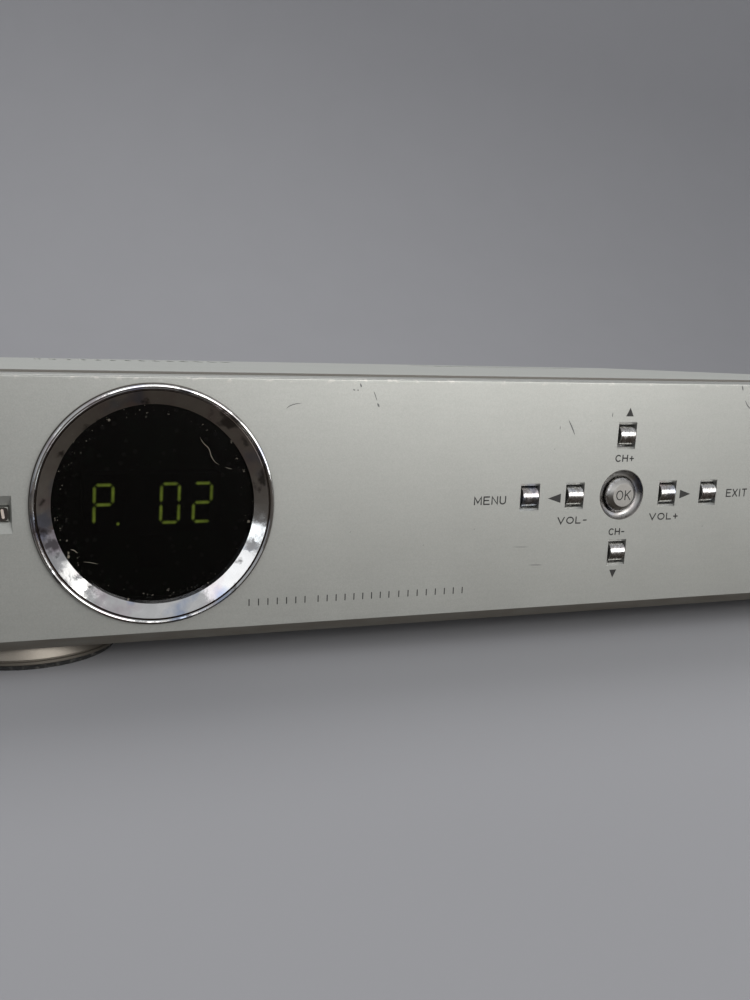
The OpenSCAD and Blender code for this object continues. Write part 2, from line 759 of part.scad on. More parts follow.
module key_ok() {
    cone_end = 0.3;
    color("gainsboro") {
        at(nav_x, -ok_proud, nav_z) backward() rotate_extrude($fn = 64)
            polygon([[0, 0], [ok_top_r, 0], [ok_top_r + 0.15, 0.08],
                [ok_r, ok_proud + cone_end], [ok_r, ok_proud + flange_depth + flange_t / 2],
                [0, ok_proud + flange_depth + flange_t / 2]]);
        rod(nav_x, nav_z, ok_r + flange_lip, [flange_depth, flange_depth + flange_t]);
        plug_block(nav_x, nav_z, [stem_w / 2, stem_w / 2], [flange_depth, stem_end_depth]);
    }
}

module key_standby() {
    half = [standby_w / 2, standby_h / 2];
    color("silver") {
        plug_block(standby_x, standby_z, half, [standby_d, flange_depth + flange_t]);
        key_tail(standby_x, standby_z, half);
    }
}

module plunger(i) {
    c = KEY_CENTRES[i];
    color("black") rod(c[0], c[1], plunger_r, [stem_end_depth, switch_depth + plunger_in]);
}

module tact_switches() {
    color("dimgray") for (c = KEY_CENTRES) difference() {
        plug_block(c[0], c[1], [switch_w / 2, switch_w / 2], [switch_depth, front_board_depth]);
        rod(c[0], c[1], plunger_r + key_gap,
            [switch_depth - past, switch_depth + plunger_in + key_travel + key_gap]);
    }
}

module key_guide() {
    hole = stem_w / 2 + key_gap;
    color("black") difference() {
        plug_block(nav_x, nav_z, guide_half, [guide_depth, guide_depth + guide_t]);
        for (i = [0 : len(CROSS)]) plug_block(KEY_CENTRES[i][0], KEY_CENTRES[i][1],
            [hole, hole], [guide_depth - past, guide_depth + guide_t + past]);
        for (p = GUIDE_BOSSES) rod(p[0], p[1], board_screw_r + slip,
            [guide_depth - past, guide_depth + guide_t + past]);
    }
}

module front_board() {
    color("darkgreen") difference() {
        block([front_board_x0, front_board_x1], [front_board_depth, front_board_back],
            [front_board_z0, front_board_z1]);
        for (p = FRONT_BOSSES) rod(p[0], p[1], board_screw_r + slip,
            [front_board_depth - past, front_board_back + past]);
    }
}

// ---- case ----

// Arch outline, width across and height up, with its two upper corners rounded
module arch(half, top, r) {
    right = [for (a = [0 : 15 : 90]) [half - r * (1 - cos(a)), top - r * (1 - sin(a))]];
    left = [for (i = [len(right) - 1 : -1 : 0]) [-right[i][0], right[i][1]]];
    polygon(concat([[half, chassis_z]], right, left, [[-half, chassis_z]]));
}

module top_vents() {
    for (middle = [-case_w / 4, case_w / 4], i = [0 : vent_top_count - 1])
        at(middle + (i - (vent_top_count - 1) / 2) * vent_pitch, case_d - vent_top_back,
            cover_under)
            slot_cut(vent_top_l, vent_w, sheet_t);
}

module side_vents() {
    for (i = [0 : vent_side_count - 1], s = [-1, 1])
        at(s * cover_half, case_d - 60 - i * vent_pitch, (side_screw_z + cover_top) / 2 + 2)
            rotate([0, 90, 0]) rotate([0, 0, 90]) translate([0, 0, -2 * sheet_t])
            slot_cut(vent_side_l, vent_w, 4 * sheet_t);
}

module top_cover() {
    front_gap = 0.3;
    start = panel_d + front_gap;
    color("silver") difference() {
        union() {
            at(0, case_d, 0) rotate([90, 0, 0]) linear_extrude(case_d - start) difference() {
                arch(cover_half, cover_top, cover_bend);
                translate([0, -past]) square([2 * inner_half, 2 * past + 2 * chassis_z],
                    center = true);
                arch(inner_half, cover_under, cover_bend - sheet_t);
            }
            block([-cover_half + cover_bend, cover_half - cover_bend],
                [case_d, case_d + sheet_t], [cover_top - rear_lip, cover_top]);
            block([-cover_half + cover_bend, cover_half - cover_bend],
                [case_d - sheet_t, case_d + sheet_t], [cover_under, cover_top]);
        }
        top_vents();
        side_vents();
        for (s = [-1, 1], d = SIDE_SCREW_DEPTHS) at(s * cover_half, d, side_screw_z)
            rotate([0, 90, 0]) cylinder(r = case_screw_r + slip, h = 4 * sheet_t,
                center = true);
        for (x = REAR_SCREW_X) rod(x, rear_screw_z, case_screw_r + slip,
            [case_d - past, case_d + sheet_t + past]);
    }
}

module chassis() {
    ribbon_slot = [ribbon_w / 2 + 6, header_d];
    color("lightsteelblue") difference() {
        union() {
            block([-inner_half, inner_half], [panel_d, rear_inner], [chassis_z, floor_top]);
            block([-inner_half, inner_half], [panel_d, panel_d + sheet_t],
                [chassis_z, cover_under]);
            for (s = [-1, 1]) block([s > 0 ? inner_half - sheet_t : -inner_half,
                s > 0 ? inner_half : sheet_t - inner_half], [panel_d, rear_inner],
                [chassis_z, chassis_z + side_flange_h]);
        }
        plug_block(ribbon_x, ribbon_z, ribbon_slot, [panel_d - past, panel_d + sheet_t + past]);
        for (p = CHASSIS_BOSSES) rod(p[0], p[1], case_screw_r + slip,
            [panel_d - past, panel_d + sheet_t + past]);
        for (i = [0 : vent_floor_count - 1])
            at((i - (vent_floor_count - 1) / 2) * vent_pitch * 2, case_d / 2, chassis_z)
                slot_cut(vent_floor_l, vent_w, sheet_t);
        for (f = FEET) at(f[0], f[1], chassis_z - past)
            cylinder(r = case_screw_r + thread_gap, h = sheet_t + 2 * past);
        for (x = FLOOR_SCREW_X) at(x, floor_screw_depth, chassis_z - past)
            cylinder(r = case_screw_r + slip, h = sheet_t + 2 * past);
        for (s = [-1, 1], d = SIDE_SCREW_DEPTHS) at(s * inner_half, d, side_screw_z)
            rotate([0, 90, 0]) cylinder(r = case_screw_r + thread_gap, h = 4 * sheet_t,
                center = true);
    }
}

module rear_panel() {
    flange = 2 * edge_margin;
    post_hole = 1.6;
    through = [rear_inner - past, case_d + past];
    color("lightgray") difference() {
        union() {
            block([-inner_half, inner_half], [rear_inner, case_d], [chassis_z, cover_under]);
            block([-inner_half + sheet_t, inner_half - sheet_t],
                [rear_inner - flange, rear_inner], [floor_top, floor_top + sheet_t]);
        }
        plug_block(inlet_x, board_top + inlet_half[1],
            [inlet_half[0] + slip, inlet_half[1] + slip], through);
        plug_block(switch_x, board_top + switch_half[1],
            [switch_half[0] + slip, switch_half[1] + slip], through);
        for (x = [scart_tv_x, scart_vcr_x]) plug_block(x, board_top + scart_h / 2,
            [scart_w / 2 + slip, scart_h / 2 + slip], through);
        at(serial_x, rear_inner - past, board_top + serial_half[1]) backward()
            linear_extrude(sheet_t + 2 * past) d_outline(slip);
        for (s = [-1, 1]) rod(serial_x + s * post_pitch / 2, board_top + serial_half[1],
            post_hole, through);
        for (z = PHONO_Z) rod(rca_x, z, phono_core_r + slip, through);
        for (s = [-1, 1]) rod(tuner_x + s * dish_plug_pitch / 2, board_top + tuner_h / 2,
            dish_plug_r + slip, through);
        for (x = REAR_SCREW_X) rod(x, rear_screw_z, case_screw_r + thread_gap, through);
        for (x = FLOOR_SCREW_X) at(x, floor_screw_depth, floor_top - past)
            cylinder(r = case_screw_r + thread_gap, h = sheet_t + 2 * past);
    }
}

// ---- feet ----

// Half section of a foot: radius across, height up
module foot_section() {
    bore_r = case_screw_r + slip;
    counterbore_r = case_head_r + 2 * slip;
    polygon([[counterbore_r, pad_t], [foot_r - 0.7, pad_t], [foot_r, pad_t + 0.4],
        [foot_r, pad_t + 1], [foot_r - 0.5, pad_t + 1.15], [foot_r - 0.5, pad_t + 1.45],
        [foot_r - 0.2, pad_t + 1.6], [foot_r - 1.2, low_z - 0.4], [foot_r - 1.6, low_z],
        [foot_seat_r, low_z], [foot_seat_r, chassis_z], [bore_r, chassis_z],
        [bore_r, foot_head_z], [counterbore_r, foot_head_z]]);
}

module foot(i) {
    color("silver") at(FEET[i][0], FEET[i][1], 0) rotate_extrude($fn = 96) foot_section();
}

module foot_pads() {
    color([0.08, 0.08, 0.08]) for (f = FEET) at(f[0], f[1], 0) difference() {
        cylinder(r = pad_r, h = pad_t, $fn = 96);
        translate([0, 0, -past]) cylinder(r = pad_hole_r, h = pad_t + 2 * past);
    }
}

// ---- screws and standoffs ----

module case_screws() {
    color("dimgray") {
        for (s = [-1, 1], d = SIDE_SCREW_DEPTHS) at(s * cover_half, d, side_screw_z)
            rotate([0, s * 90, 0]) case_screw();
        for (x = REAR_SCREW_X) at(x, case_d + sheet_t, rear_screw_z) backward() case_screw();
        for (x = FLOOR_SCREW_X) at(x, floor_screw_depth, chassis_z) rotate([180, 0, 0])
            case_screw();
        for (f = FEET) at(f[0], f[1], foot_head_z) rotate([180, 0, 0]) case_screw();
        for (p = CHASSIS_BOSSES) at(p[0], panel_d + sheet_t, p[1]) backward() case_screw();
    }
}

module board_screws() {
    color("gainsboro") {
        for (p = FRONT_BOSSES) at(p[0], front_board_back, p[1]) backward()
            board_screw(board_screw_l);
        for (p = GUIDE_BOSSES) at(p[0], guide_depth + guide_t, p[1]) backward()
            board_screw(guide_depth + guide_t - panel_wall - 0.2);
        for (p = concat(MAIN_HOLES, POWER_HOLES)) at(p[0], p[1], board_top)
            board_screw(board_screw_l);
    }
}

module board_standoffs() {
    color("goldenrod") for (p = concat(MAIN_HOLES, POWER_HOLES))
        at(p[0], p[1], floor_top) difference() {
            cylinder(r = standoff_r, h = standoff_h);
            translate([0, 0, standoff_h + board_t - board_screw_l - 0.3])
                cylinder(r = board_screw_r + thread_gap, h = board_screw_l + past);
        }
}

// ---- main board ----

module board(x, depth, holes) {
    difference() {
        block(x, depth, [board_z, board_top]);
        for (p = holes) at(p[0], p[1], board_z - past)
            cylinder(r = board_screw_r + slip, h = board_t + 2 * past);
    }
}

module main_board() {
    color("darkgreen") board([main_x0, main_x1],
        [board_rear_depth - main_d, board_rear_depth], MAIN_HOLES);
}

// The decoder stands left of the main board's middle, the memory chips right of it
chip_x = main_x - chip_left;
chip_depth = board_rear_depth - chip_back;

module decoder_chip() {
    color([0.1, 0.1, 0.1]) block([chip_x - chip_w / 2, chip_x + chip_w / 2],
        [chip_depth - chip_w / 2, chip_depth + chip_w / 2], [board_top, board_top + chip_t]);
}

module decoder_heatsink() {
    fin_count = 9;
    half = sink_w / 2;
    depth = [chip_depth - half, chip_depth + half];
    base_z = board_top + chip_t;
    color("darkgray") {
        block([chip_x - half, chip_x + half], depth, [base_z, base_z + sink_base_t]);
        for (i = [0 : fin_count - 1]) {
            x = chip_x - half + i * (sink_w - sink_fin_t) / (fin_count - 1);
            block([x, x + sink_fin_t], depth, [base_z, base_z + sink_base_t + sink_fin_h]);
        }
    }
}

module memory_chips() {
    x = main_x + memory_right;
    color([0.1, 0.1, 0.1]) for (i = [-1 : 1]) {
        depth = chip_depth + i * memory_pitch;
        block([x, x + memory_w], [depth - memory_d / 2, depth + memory_d / 2],
            [board_top, board_top + memory_t]);
    }
}

module tuner_can() {
    lid_t = 0.4;
    edge = 1;
    half = tuner_w / 2;
    color("silver") {
        block([tuner_x - half, tuner_x + half], [rear_inner - tuner_l, rear_inner],
            [board_top, board_top + tuner_h - lid_t]);
        block([tuner_x - half + edge, tuner_x + half - edge],
            [rear_inner - tuner_l + edge, rear_inner - edge],
            [board_top + tuner_h - 2 * lid_t, board_top + tuner_h]);
    }
}

// Two threaded connectors, each with its hexagon nut on the rear panel
module f_connectors() {
    nut_t = 2.5;
    nut_r = 8;
    neck_r = dish_plug_r - 0.25;
    face_r = 3.4;
    socket_r = 0.6;
    end = sheet_t + dish_plug_l;
    color("goldenrod") for (s = [-1, 1])
        at(tuner_x + s * dish_plug_pitch / 2, rear_inner, board_top + tuner_h / 2) backward() {
            difference() {
                union() {
                    cylinder(r = neck_r, h = end);
                    translate([0, 0, sheet_t + nut_t])
                        cylinder(r = dish_plug_r, h = dish_plug_l - nut_t);
                }
                translate([0, 0, end - 1]) cylinder(r = face_r, h = 1 + past);
                translate([0, 0, end - 8]) cylinder(r = socket_r, h = 8 + past);
            }
            translate([0, 0, sheet_t]) difference() {
                cylinder(r = nut_r, h = nut_t, $fn = 6);
                translate([0, 0, -past]) cylinder(r = neck_r + thread_gap,
                    h = nut_t + 2 * past);
            }
        }
}

// Outline of a scart socket's mouth, with its one slanted corner, drawn in by inset
module scart_outline(inset) {
    rim = [2.6, 2];
    half = [scart_w / 2 - rim[0] - inset, scart_h / 2 - rim[1] - inset];
    cut = 4;
    polygon([[-half[0], -half[1]], [half[0], -half[1]], [half[0], half[1] - cut],
        [half[0] - cut, half[1]], [-half[0], half[1]]]);
}

module scart_socket(x) {
    out = 1;
    mouth_d = 9;
    gap = 1.4;
    pitch = 3.81;
    row_rise = 1.8;
    contact_half = [0.5, 1.1];
    contact_d = 6;
    color([0.09, 0.09, 0.09]) difference() {
        plug_block(x, board_top + scart_h / 2, [scart_w / 2, scart_h / 2],
            [case_d - scart_d, case_d + out]);
        at(x, case_d + out - mouth_d, board_top + scart_h / 2) backward()
            linear_extrude(mouth_d + past) difference() {
                scart_outline(0);
                scart_outline(gap);
            }
        for (row = [-1, 1], i = [0 : 9])
            plug_block(x + (i - 4.5) * pitch + row * pitch / 4,
                board_top + scart_h / 2 + row * row_rise, contact_half,
                [case_d + out - contact_d, case_d + out + past]);
    }
}

module rca_block() {
    color([0.09, 0.09, 0.09]) difference() {
        block([rca_x - rca_w / 2, rca_x + rca_w / 2], [rear_inner - rca_d, rear_inner],
            [board_top, PHONO_Z[2] + phono_margin]);
        for (z = PHONO_Z) rod(rca_x, z, phono_core_r + seat_gap,
            [rear_inner - phono_seat_d, rear_inner + past]);
    }
}

// Coloured core and lip of each phono socket
module rca_inserts() {
    lip_r = 5.6;
    pin_hole_r = 1.75;
    shell_past = 0.5;
    hues = ["white", "red", "yellow"];
    for (i = [0 : 2]) color(hues[i]) difference() {
        union() {
            rod(rca_x, PHONO_Z[i], phono_core_r,
                [rear_inner - phono_seat_d, case_d + phono_lip_t + phono_l - shell_past]);
            rod(rca_x, PHONO_Z[i], lip_r, [case_d, case_d + phono_lip_t]);
        }
        rod(rca_x, PHONO_Z[i], pin_hole_r,
            [case_d + phono_lip_t, case_d + phono_lip_t + phono_l + past]);
    }
}

module rca_shells() {
    color("gainsboro") for (z = PHONO_Z) difference() {
        rod(rca_x, z, phono_r, [case_d + phono_lip_t, case_d + phono_lip_t + phono_l]);
        rod(rca_x, z, phono_core_r + seat_gap, [case_d, case_d + phono_lip_t + phono_l + past]);
    }
}

// D-shaped outline of the serial socket, grown by a gap
module d_outline(grow) {
    half = [8.45 + grow, 4.15 + grow];
    lean = 1.4;
    polygon([[-half[0], -half[1]], [half[0], -half[1]], [half[0] - lean, half[1]],
        [lean - half[0], half[1]]]);
}

module serial_port() {
    shell_out = 5.4;
    post_out = 4.8;
    post_r = 1.4;
    post_in = 6;
    body_d = 12;
    pin_pitch_x = 2.77;
    pin_pitch_z = 2.84;
    pin_hole_r = 0.55;
    z = board_top + serial_half[1];
    color("silver") {
        difference() {
            union() {
                plug_block(serial_x, z, serial_half, [rear_inner - body_d, rear_inner]);
                at(serial_x, rear_inner - past, z) backward()
                    linear_extrude(shell_out + sheet_t + past) d_outline(0);
            }
            for (row = [0, 1], i = [0 : 4 - row])
                rod(serial_x + (i - 2 + row / 2) * pin_pitch_x, z + (row - 0.5) * pin_pitch_z,
                    pin_hole_r, [case_d - 1, case_d + shell_out + past]);
            for (s = [-1, 1]) rod(serial_x + s * post_pitch / 2, z, post_r + seat_gap,
                [rear_inner - post_in - 2, rear_inner + past]);
        }
        for (s = [-1, 1]) difference() {
            union() {
                rod(serial_x + s * post_pitch / 2, z, post_r, [rear_inner - post_in, case_d]);
                at(serial_x + s * post_pitch / 2, case_d, z) backward()
                    cylinder(r = 2 * post_r, h = post_out, $fn = 6);
            }
            rod(serial_x + s * post_pitch / 2, z, post_hole_r,
                [case_d, case_d + post_out + past]);
        }
    }
}

// Flat plug on a board, with its cable leaving the top
module header_block(x, depth, half) {
    block([x - half[0], x + half[0]], [depth - half[1], depth + half[1]],
        [board_top, board_top + header_h]);
}

// From the back of the front board, through the chassis, down to the main board
module ribbon_cable() {
    half_w = ribbon_w / 2;
    plug_half = [half_w + 3, header_d / 2];
    bend_depth = ribbon_end_depth - ribbon_bend_r - ribbon_t / 2;
    plug_end = front_board_back + 5.4;
    color("lightgray") {
        plug_block(ribbon_x, ribbon_z, plug_half, [front_board_back, plug_end]);
        plug_block(ribbon_x, ribbon_z, [half_w, ribbon_t / 2], [plug_end - 1, bend_depth]);
        at(ribbon_x, bend_depth, ribbon_z - ribbon_bend_r - ribbon_t / 2) intersection() {
            rotate([0, 90, 0]) difference() {
                cylinder(r = ribbon_bend_r + ribbon_t, h = ribbon_w, center = true);
                cylinder(r = ribbon_bend_r, h = ribbon_w + past, center = true);
            }
            translate([-ribbon_w, 0, 0]) cube([2 * ribbon_w, 4 * ribbon_bend_r,
                4 * ribbon_bend_r]);
        }
        block([ribbon_x - half_w, ribbon_x + half_w],
            [ribbon_end_depth - ribbon_t / 2, ribbon_end_depth + ribbon_t / 2],
            [board_top + header_h - 1, ribbon_z - ribbon_bend_r - ribbon_t / 2]);
        header_block(ribbon_x, ribbon_end_depth, plug_half);
    }
}

// Short arched strap from the power board to the main board
module supply_cable() {
    depth = board_rear_depth - supply_back;
    reach = board_gap / 2 + header_d / 2 + 1;
    middle = (main_x0 + power_x1) / 2;
    arch_z = board_top + header_h + 3;
    color("white") {
        for (s = [-1, 1]) {
            header_block(middle + s * reach, depth, [header_d / 2, supply_w / 2 + 1]);
            block([middle + s * reach - ribbon_t / 2, middle + s * reach + ribbon_t / 2],
                [depth - supply_w / 2, depth + supply_w / 2],
                [board_top + header_h - 1, arch_z]);
        }
        at(middle, depth, arch_z) intersection() {
            rotate([90, 0, 0]) difference() {
                cylinder(r = reach + ribbon_t / 2, h = supply_w, center = true);
                cylinder(r = reach - ribbon_t / 2, h = supply_w + past, center = true);
            }
            translate([-2 * reach, -supply_w, 0]) cube([4 * reach, 2 * supply_w, 2 * reach]);
        }
    }
}

// ---- power board ----

module power_board() {
    color("burlywood") board([power_x0, power_x1],
        [board_rear_depth - power_d, board_rear_depth], POWER_HOLES);
}

module transformer() {
    side_gap = 2;
    x = power_x0 + side_gap + core_w / 2;
    depth = board_rear_depth - transformer_back;
    color("goldenrod") block([x - coil_w / 2, x + coil_w / 2],
        [depth - coil_d / 2, depth + coil_d / 2], [board_top, board_top + coil_h]);
    color("dimgray") block([x - core_w / 2, x + core_w / 2],
        [depth - core_d / 2, depth + core_d / 2], [board_top, board_top + core_h]);
}

// Standing can with a rolled groove below its top
module capacitor(r, h) {
    groove = 0.5;
    rotate_extrude() polygon([[0, 0], [r, 0], [r, h - 3.4], [r - groove, h - 3],
        [r - groove, h - 2.6], [r, h - 2.2], [r, h - 0.4], [r - 0.4, h], [0, h]]);
}

module input_capacitor() {
    side_gap = 6;
    color("midnightblue")
        at(power_x0 + side_gap + input_cap_r, board_rear_depth - input_cap_back, board_top)
        capacitor(input_cap_r, input_cap_h);
}

module output_capacitors() {
    side_gap = 11;
    x = power_x0 + side_gap + output_cap_r;
    depth = board_rear_depth - power_d + output_cap_front;
    color("midnightblue") for (i = [0, 1], j = [0, 1])
        at(x + i * output_cap_pitch, depth + j * output_cap_pitch, board_top)
            capacitor(output_cap_r, output_cap_h);
}

// Finned plate with the switching transistor clamped to it
module power_heatsink() {
    fin_t = 1.6;
    fin_count = 5;
    transistor = [4.4, 10, 15];
    leg_h = 8;
    side_gap = 4;
    x = power_x1 - side_gap - plate_t - plate_fin;
    depth = board_rear_depth - plate_back - plate_l;
    color("darkgray") {
        block([x, x + plate_t], [depth, depth + plate_l], [board_top, board_top + plate_h]);
        for (i = [0 : fin_count - 1]) {
            fin_depth = depth + i * (plate_l - fin_t) / (fin_count - 1);
            block([x, x + plate_t + plate_fin], [fin_depth, fin_depth + fin_t],
                [board_top, board_top + plate_h]);
        }
    }
    color([0.1, 0.1, 0.1]) block([x - transistor[0], x],
        [depth + plate_l / 2, depth + plate_l / 2 + transistor[1]],
        [board_top + leg_h, board_top + leg_h + transistor[2]]);
}

// Glass fuse between its two clips
module fuse() {
    clip = [6.8, 5];
    side_gap = 12;
    lift = 1.4;
    x = power_x1 - side_gap;
    depth = board_rear_depth - fuse_back - fuse_l;
    z = board_top + lift + fuse_r;
    color("gainsboro") {
        rod(x, z, fuse_r, [depth, depth + fuse_l]);
        for (d = [0, fuse_l - clip[1]])
            block([x - clip[0] / 2, x + clip[0] / 2], [depth + d, depth + d + clip[1]],
                [board_top, z + 1]);
    }
}

module mains_inlet() {
    z = board_top + inlet_half[1];
    lip_t = 1.6;
    cavity_d = 12;
    body_d = 16;
    color([0.07, 0.07, 0.07]) difference() {
        union() {
            plug_block(inlet_x, z, inlet_half, [case_d - body_d, case_d]);
            plug_block(inlet_x, z, inlet_lip, [case_d, case_d + lip_t]);
        }
        for (s = [-1, 1]) {
            rod(inlet_x + s * pin_pitch / 2, z, inlet_end_r,
                [case_d + lip_t - cavity_d, case_d + lip_t + past]);
            rod(inlet_x + s * pin_pitch / 2, z, pin_r + thread_gap,
                [case_d - body_d - past, case_d]);
        }
        plug_block(inlet_x, z, [pin_pitch / 2, inlet_end_r],
            [case_d + lip_t - cavity_d, case_d + lip_t + past]);
    }
}

module inlet_pins() {
    pin_in = 18;
    color("gainsboro") for (s = [-1, 1])
        rod(inlet_x + s * pin_pitch / 2, board_top + inlet_half[1], pin_r,
            [case_d - pin_in, case_d - 1]);
}

module switch_housing() {
    z = board_top + switch_half[1];
    lip_t = 1.8;
    body_d = 14;
    bore_r = rocker_r + 0.3;
    half_w = rocker_w / 2 + 0.3;
    color([0.07, 0.07, 0.07]) difference() {
        union() {
            plug_block(switch_x, z, switch_half, [case_d - body_d, case_d]);
            plug_block(switch_x, z, switch_lip, [case_d, case_d + lip_t]);
        }
        at(switch_x, case_d + rocker_pivot, z) rotate([0, 90, 0])
            cylinder(r = bore_r, h = 2 * half_w, center = true, $fn = 64);
        plug_block(switch_x, z, [half_w, bore_r],
            [case_d + rocker_pivot, case_d + lip_t + past]);
        at(switch_x, case_d + rocker_pivot, z) rotate([0, 90, 0])
            cylinder(r = trunnion_r + run_gap, h = 2 * switch_half[0] - 0.4, center = true);
    }
}

// Rocker on its two trunnions, resting with its lower end pressed in
module power_rocker() {
    z = board_top + switch_half[1];
    valley = 3;
    rise = 0.22;
    reach = 2 * rocker_r;
    color([0.12, 0.12, 0.12]) at(switch_x, case_d + rocker_pivot, z)
        rotate([-rocker_tilt, 0, 0]) {
            difference() {
                rotate([0, 90, 0]) cylinder(r = rocker_r, h = rocker_w, center = true,
                    $fn = 64);
                rotate([90, 0, 90]) linear_extrude(rocker_w + 2 * past, center = true)
                    polygon([[valley, 0], [valley + rise * reach, reach], [reach, reach],
                        [reach, -reach], [valley + rise * reach, -reach]]);
                translate([0, -reach - 3, 0]) cube([rocker_w + 2, 2 * reach, 2 * reach],
                    center = true);
            }
            rotate([0, 90, 0]) cylinder(r = trunnion_r, h = 2 * switch_half[0] - 0.8,
                center = true);
        }
}

front_panel();
window_ring();
window_lens();
display_module();
digit_segments();
infrared_sensor();
small_key("menu");  // key_menu
small_key("vol_down");  // key_vol_down
key_ok();
small_key("vol_up");  // key_vol_up
small_key("exit");  // key_exit
small_key("ch_up");  // key_ch_up
small_key("ch_down");  // key_ch_down
key_standby();
plunger(0);  // plunger_menu
plunger(1);  // plunger_vol_down
plunger(2);  // plunger_vol_up
plunger(3);  // plunger_exit
plunger(4);  // plunger_ch_up
plunger(5);  // plunger_ch_down
plunger(6);  // plunger_ok
plunger(7);  // plunger_standby
key_guide();
tact_switches();
front_board();
top_cover();
chassis();
rear_panel();
foot(0);  // foot_front_left
foot(1);  // foot_front_right
foot(2);  // foot_rear_left
foot(3);  // foot_rear_right
foot_pads();
case_screws();
board_screws();
board_standoffs();
main_board();
decoder_chip();
decoder_heatsink();
memory_chips();
tuner_can();
f_connectors();
scart_socket(scart_tv_x);  // scart_tv
scart_socket(scart_vcr_x);  // scart_vcr
rca_block();
rca_shells();
rca_inserts();
serial_port();
power_board();
transformer();
input_capacitor();
output_capacitors();
power_heatsink();
fuse();
mains_inlet();
inlet_pins();
switch_housing();
power_rocker();
ribbon_cable();
supply_cable();
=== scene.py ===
"""The looks of a satellite television receiver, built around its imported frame.

The frame gives every solid piece at its real size. This script adds finishes, printed marks, lit
digits, wear and small details, then a pale floor, soft lights and the camera. Lengths written
with MM are millimetres; places are worked out from the frame.
"""

import json
import math

import bmesh
import bpy
from mathutils import Matrix, Vector

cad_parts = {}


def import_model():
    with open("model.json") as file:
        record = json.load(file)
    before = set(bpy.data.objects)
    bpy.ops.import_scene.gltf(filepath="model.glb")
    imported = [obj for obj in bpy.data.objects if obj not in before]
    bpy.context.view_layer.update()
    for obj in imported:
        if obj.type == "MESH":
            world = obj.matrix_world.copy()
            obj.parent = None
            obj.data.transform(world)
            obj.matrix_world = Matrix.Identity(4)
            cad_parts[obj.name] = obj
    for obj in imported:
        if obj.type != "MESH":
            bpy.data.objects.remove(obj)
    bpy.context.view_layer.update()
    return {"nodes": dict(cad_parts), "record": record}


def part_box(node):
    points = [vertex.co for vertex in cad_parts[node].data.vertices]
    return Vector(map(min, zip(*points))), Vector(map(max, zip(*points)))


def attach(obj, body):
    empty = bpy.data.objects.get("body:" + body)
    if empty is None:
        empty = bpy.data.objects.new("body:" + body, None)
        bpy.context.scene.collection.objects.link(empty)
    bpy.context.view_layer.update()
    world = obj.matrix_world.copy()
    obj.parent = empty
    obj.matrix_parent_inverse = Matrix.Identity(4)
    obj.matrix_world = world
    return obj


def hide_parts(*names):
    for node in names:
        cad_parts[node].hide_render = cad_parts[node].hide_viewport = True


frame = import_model()
NODES = frame["nodes"]
MM = 0.001


# ---- places taken from the frame ----


def middle(node):
    """The middle of a node's box."""
    low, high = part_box(node)
    return (low + high) / 2


FACE_LOW, FACE_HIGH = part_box("front_panel")
FACE_Y = FACE_LOW.y  # the flat front face
FACE_TOP = FACE_HIGH.z
FACE_FOOT = FACE_LOW.z + 3 * MM  # the face's lower edge, above its bevel
WINDOW = middle("window_ring")
OK_KEY = middle("key_ok")
RING_RADIUS = (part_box("window_ring")[1].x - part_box("window_ring")[0].x) / 2
COVER_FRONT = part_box("top_cover")[0].y
DISH_RADIUS = 6.65  # the bowl round the centre key, in millimetres: its mouth
DISH_THROAT = 4.95
DISH_DEPTH = 1.4
SATIN_RADIUS = 4.3  # the centre key is satin inside this radius, in millimetres
LENS_TINT = (0.06, 0.064, 0.06)  # light that passes the window, red green blue
GLOW = "glow"  # mesh attribute: 1 along a light segment's spine, 0 at its edge


# ---- finishes ----


def srgb(red, green, blue_reflection):
    """A colour given as 0 to 255 in sRGB, as linear values."""
    return tuple(
        c / 12.92 if c <= 0.04045 else ((c + 0.055) / 1.055) ** 2.4
        for c in (red / 255, green / 255, blue_reflection / 255)
    )


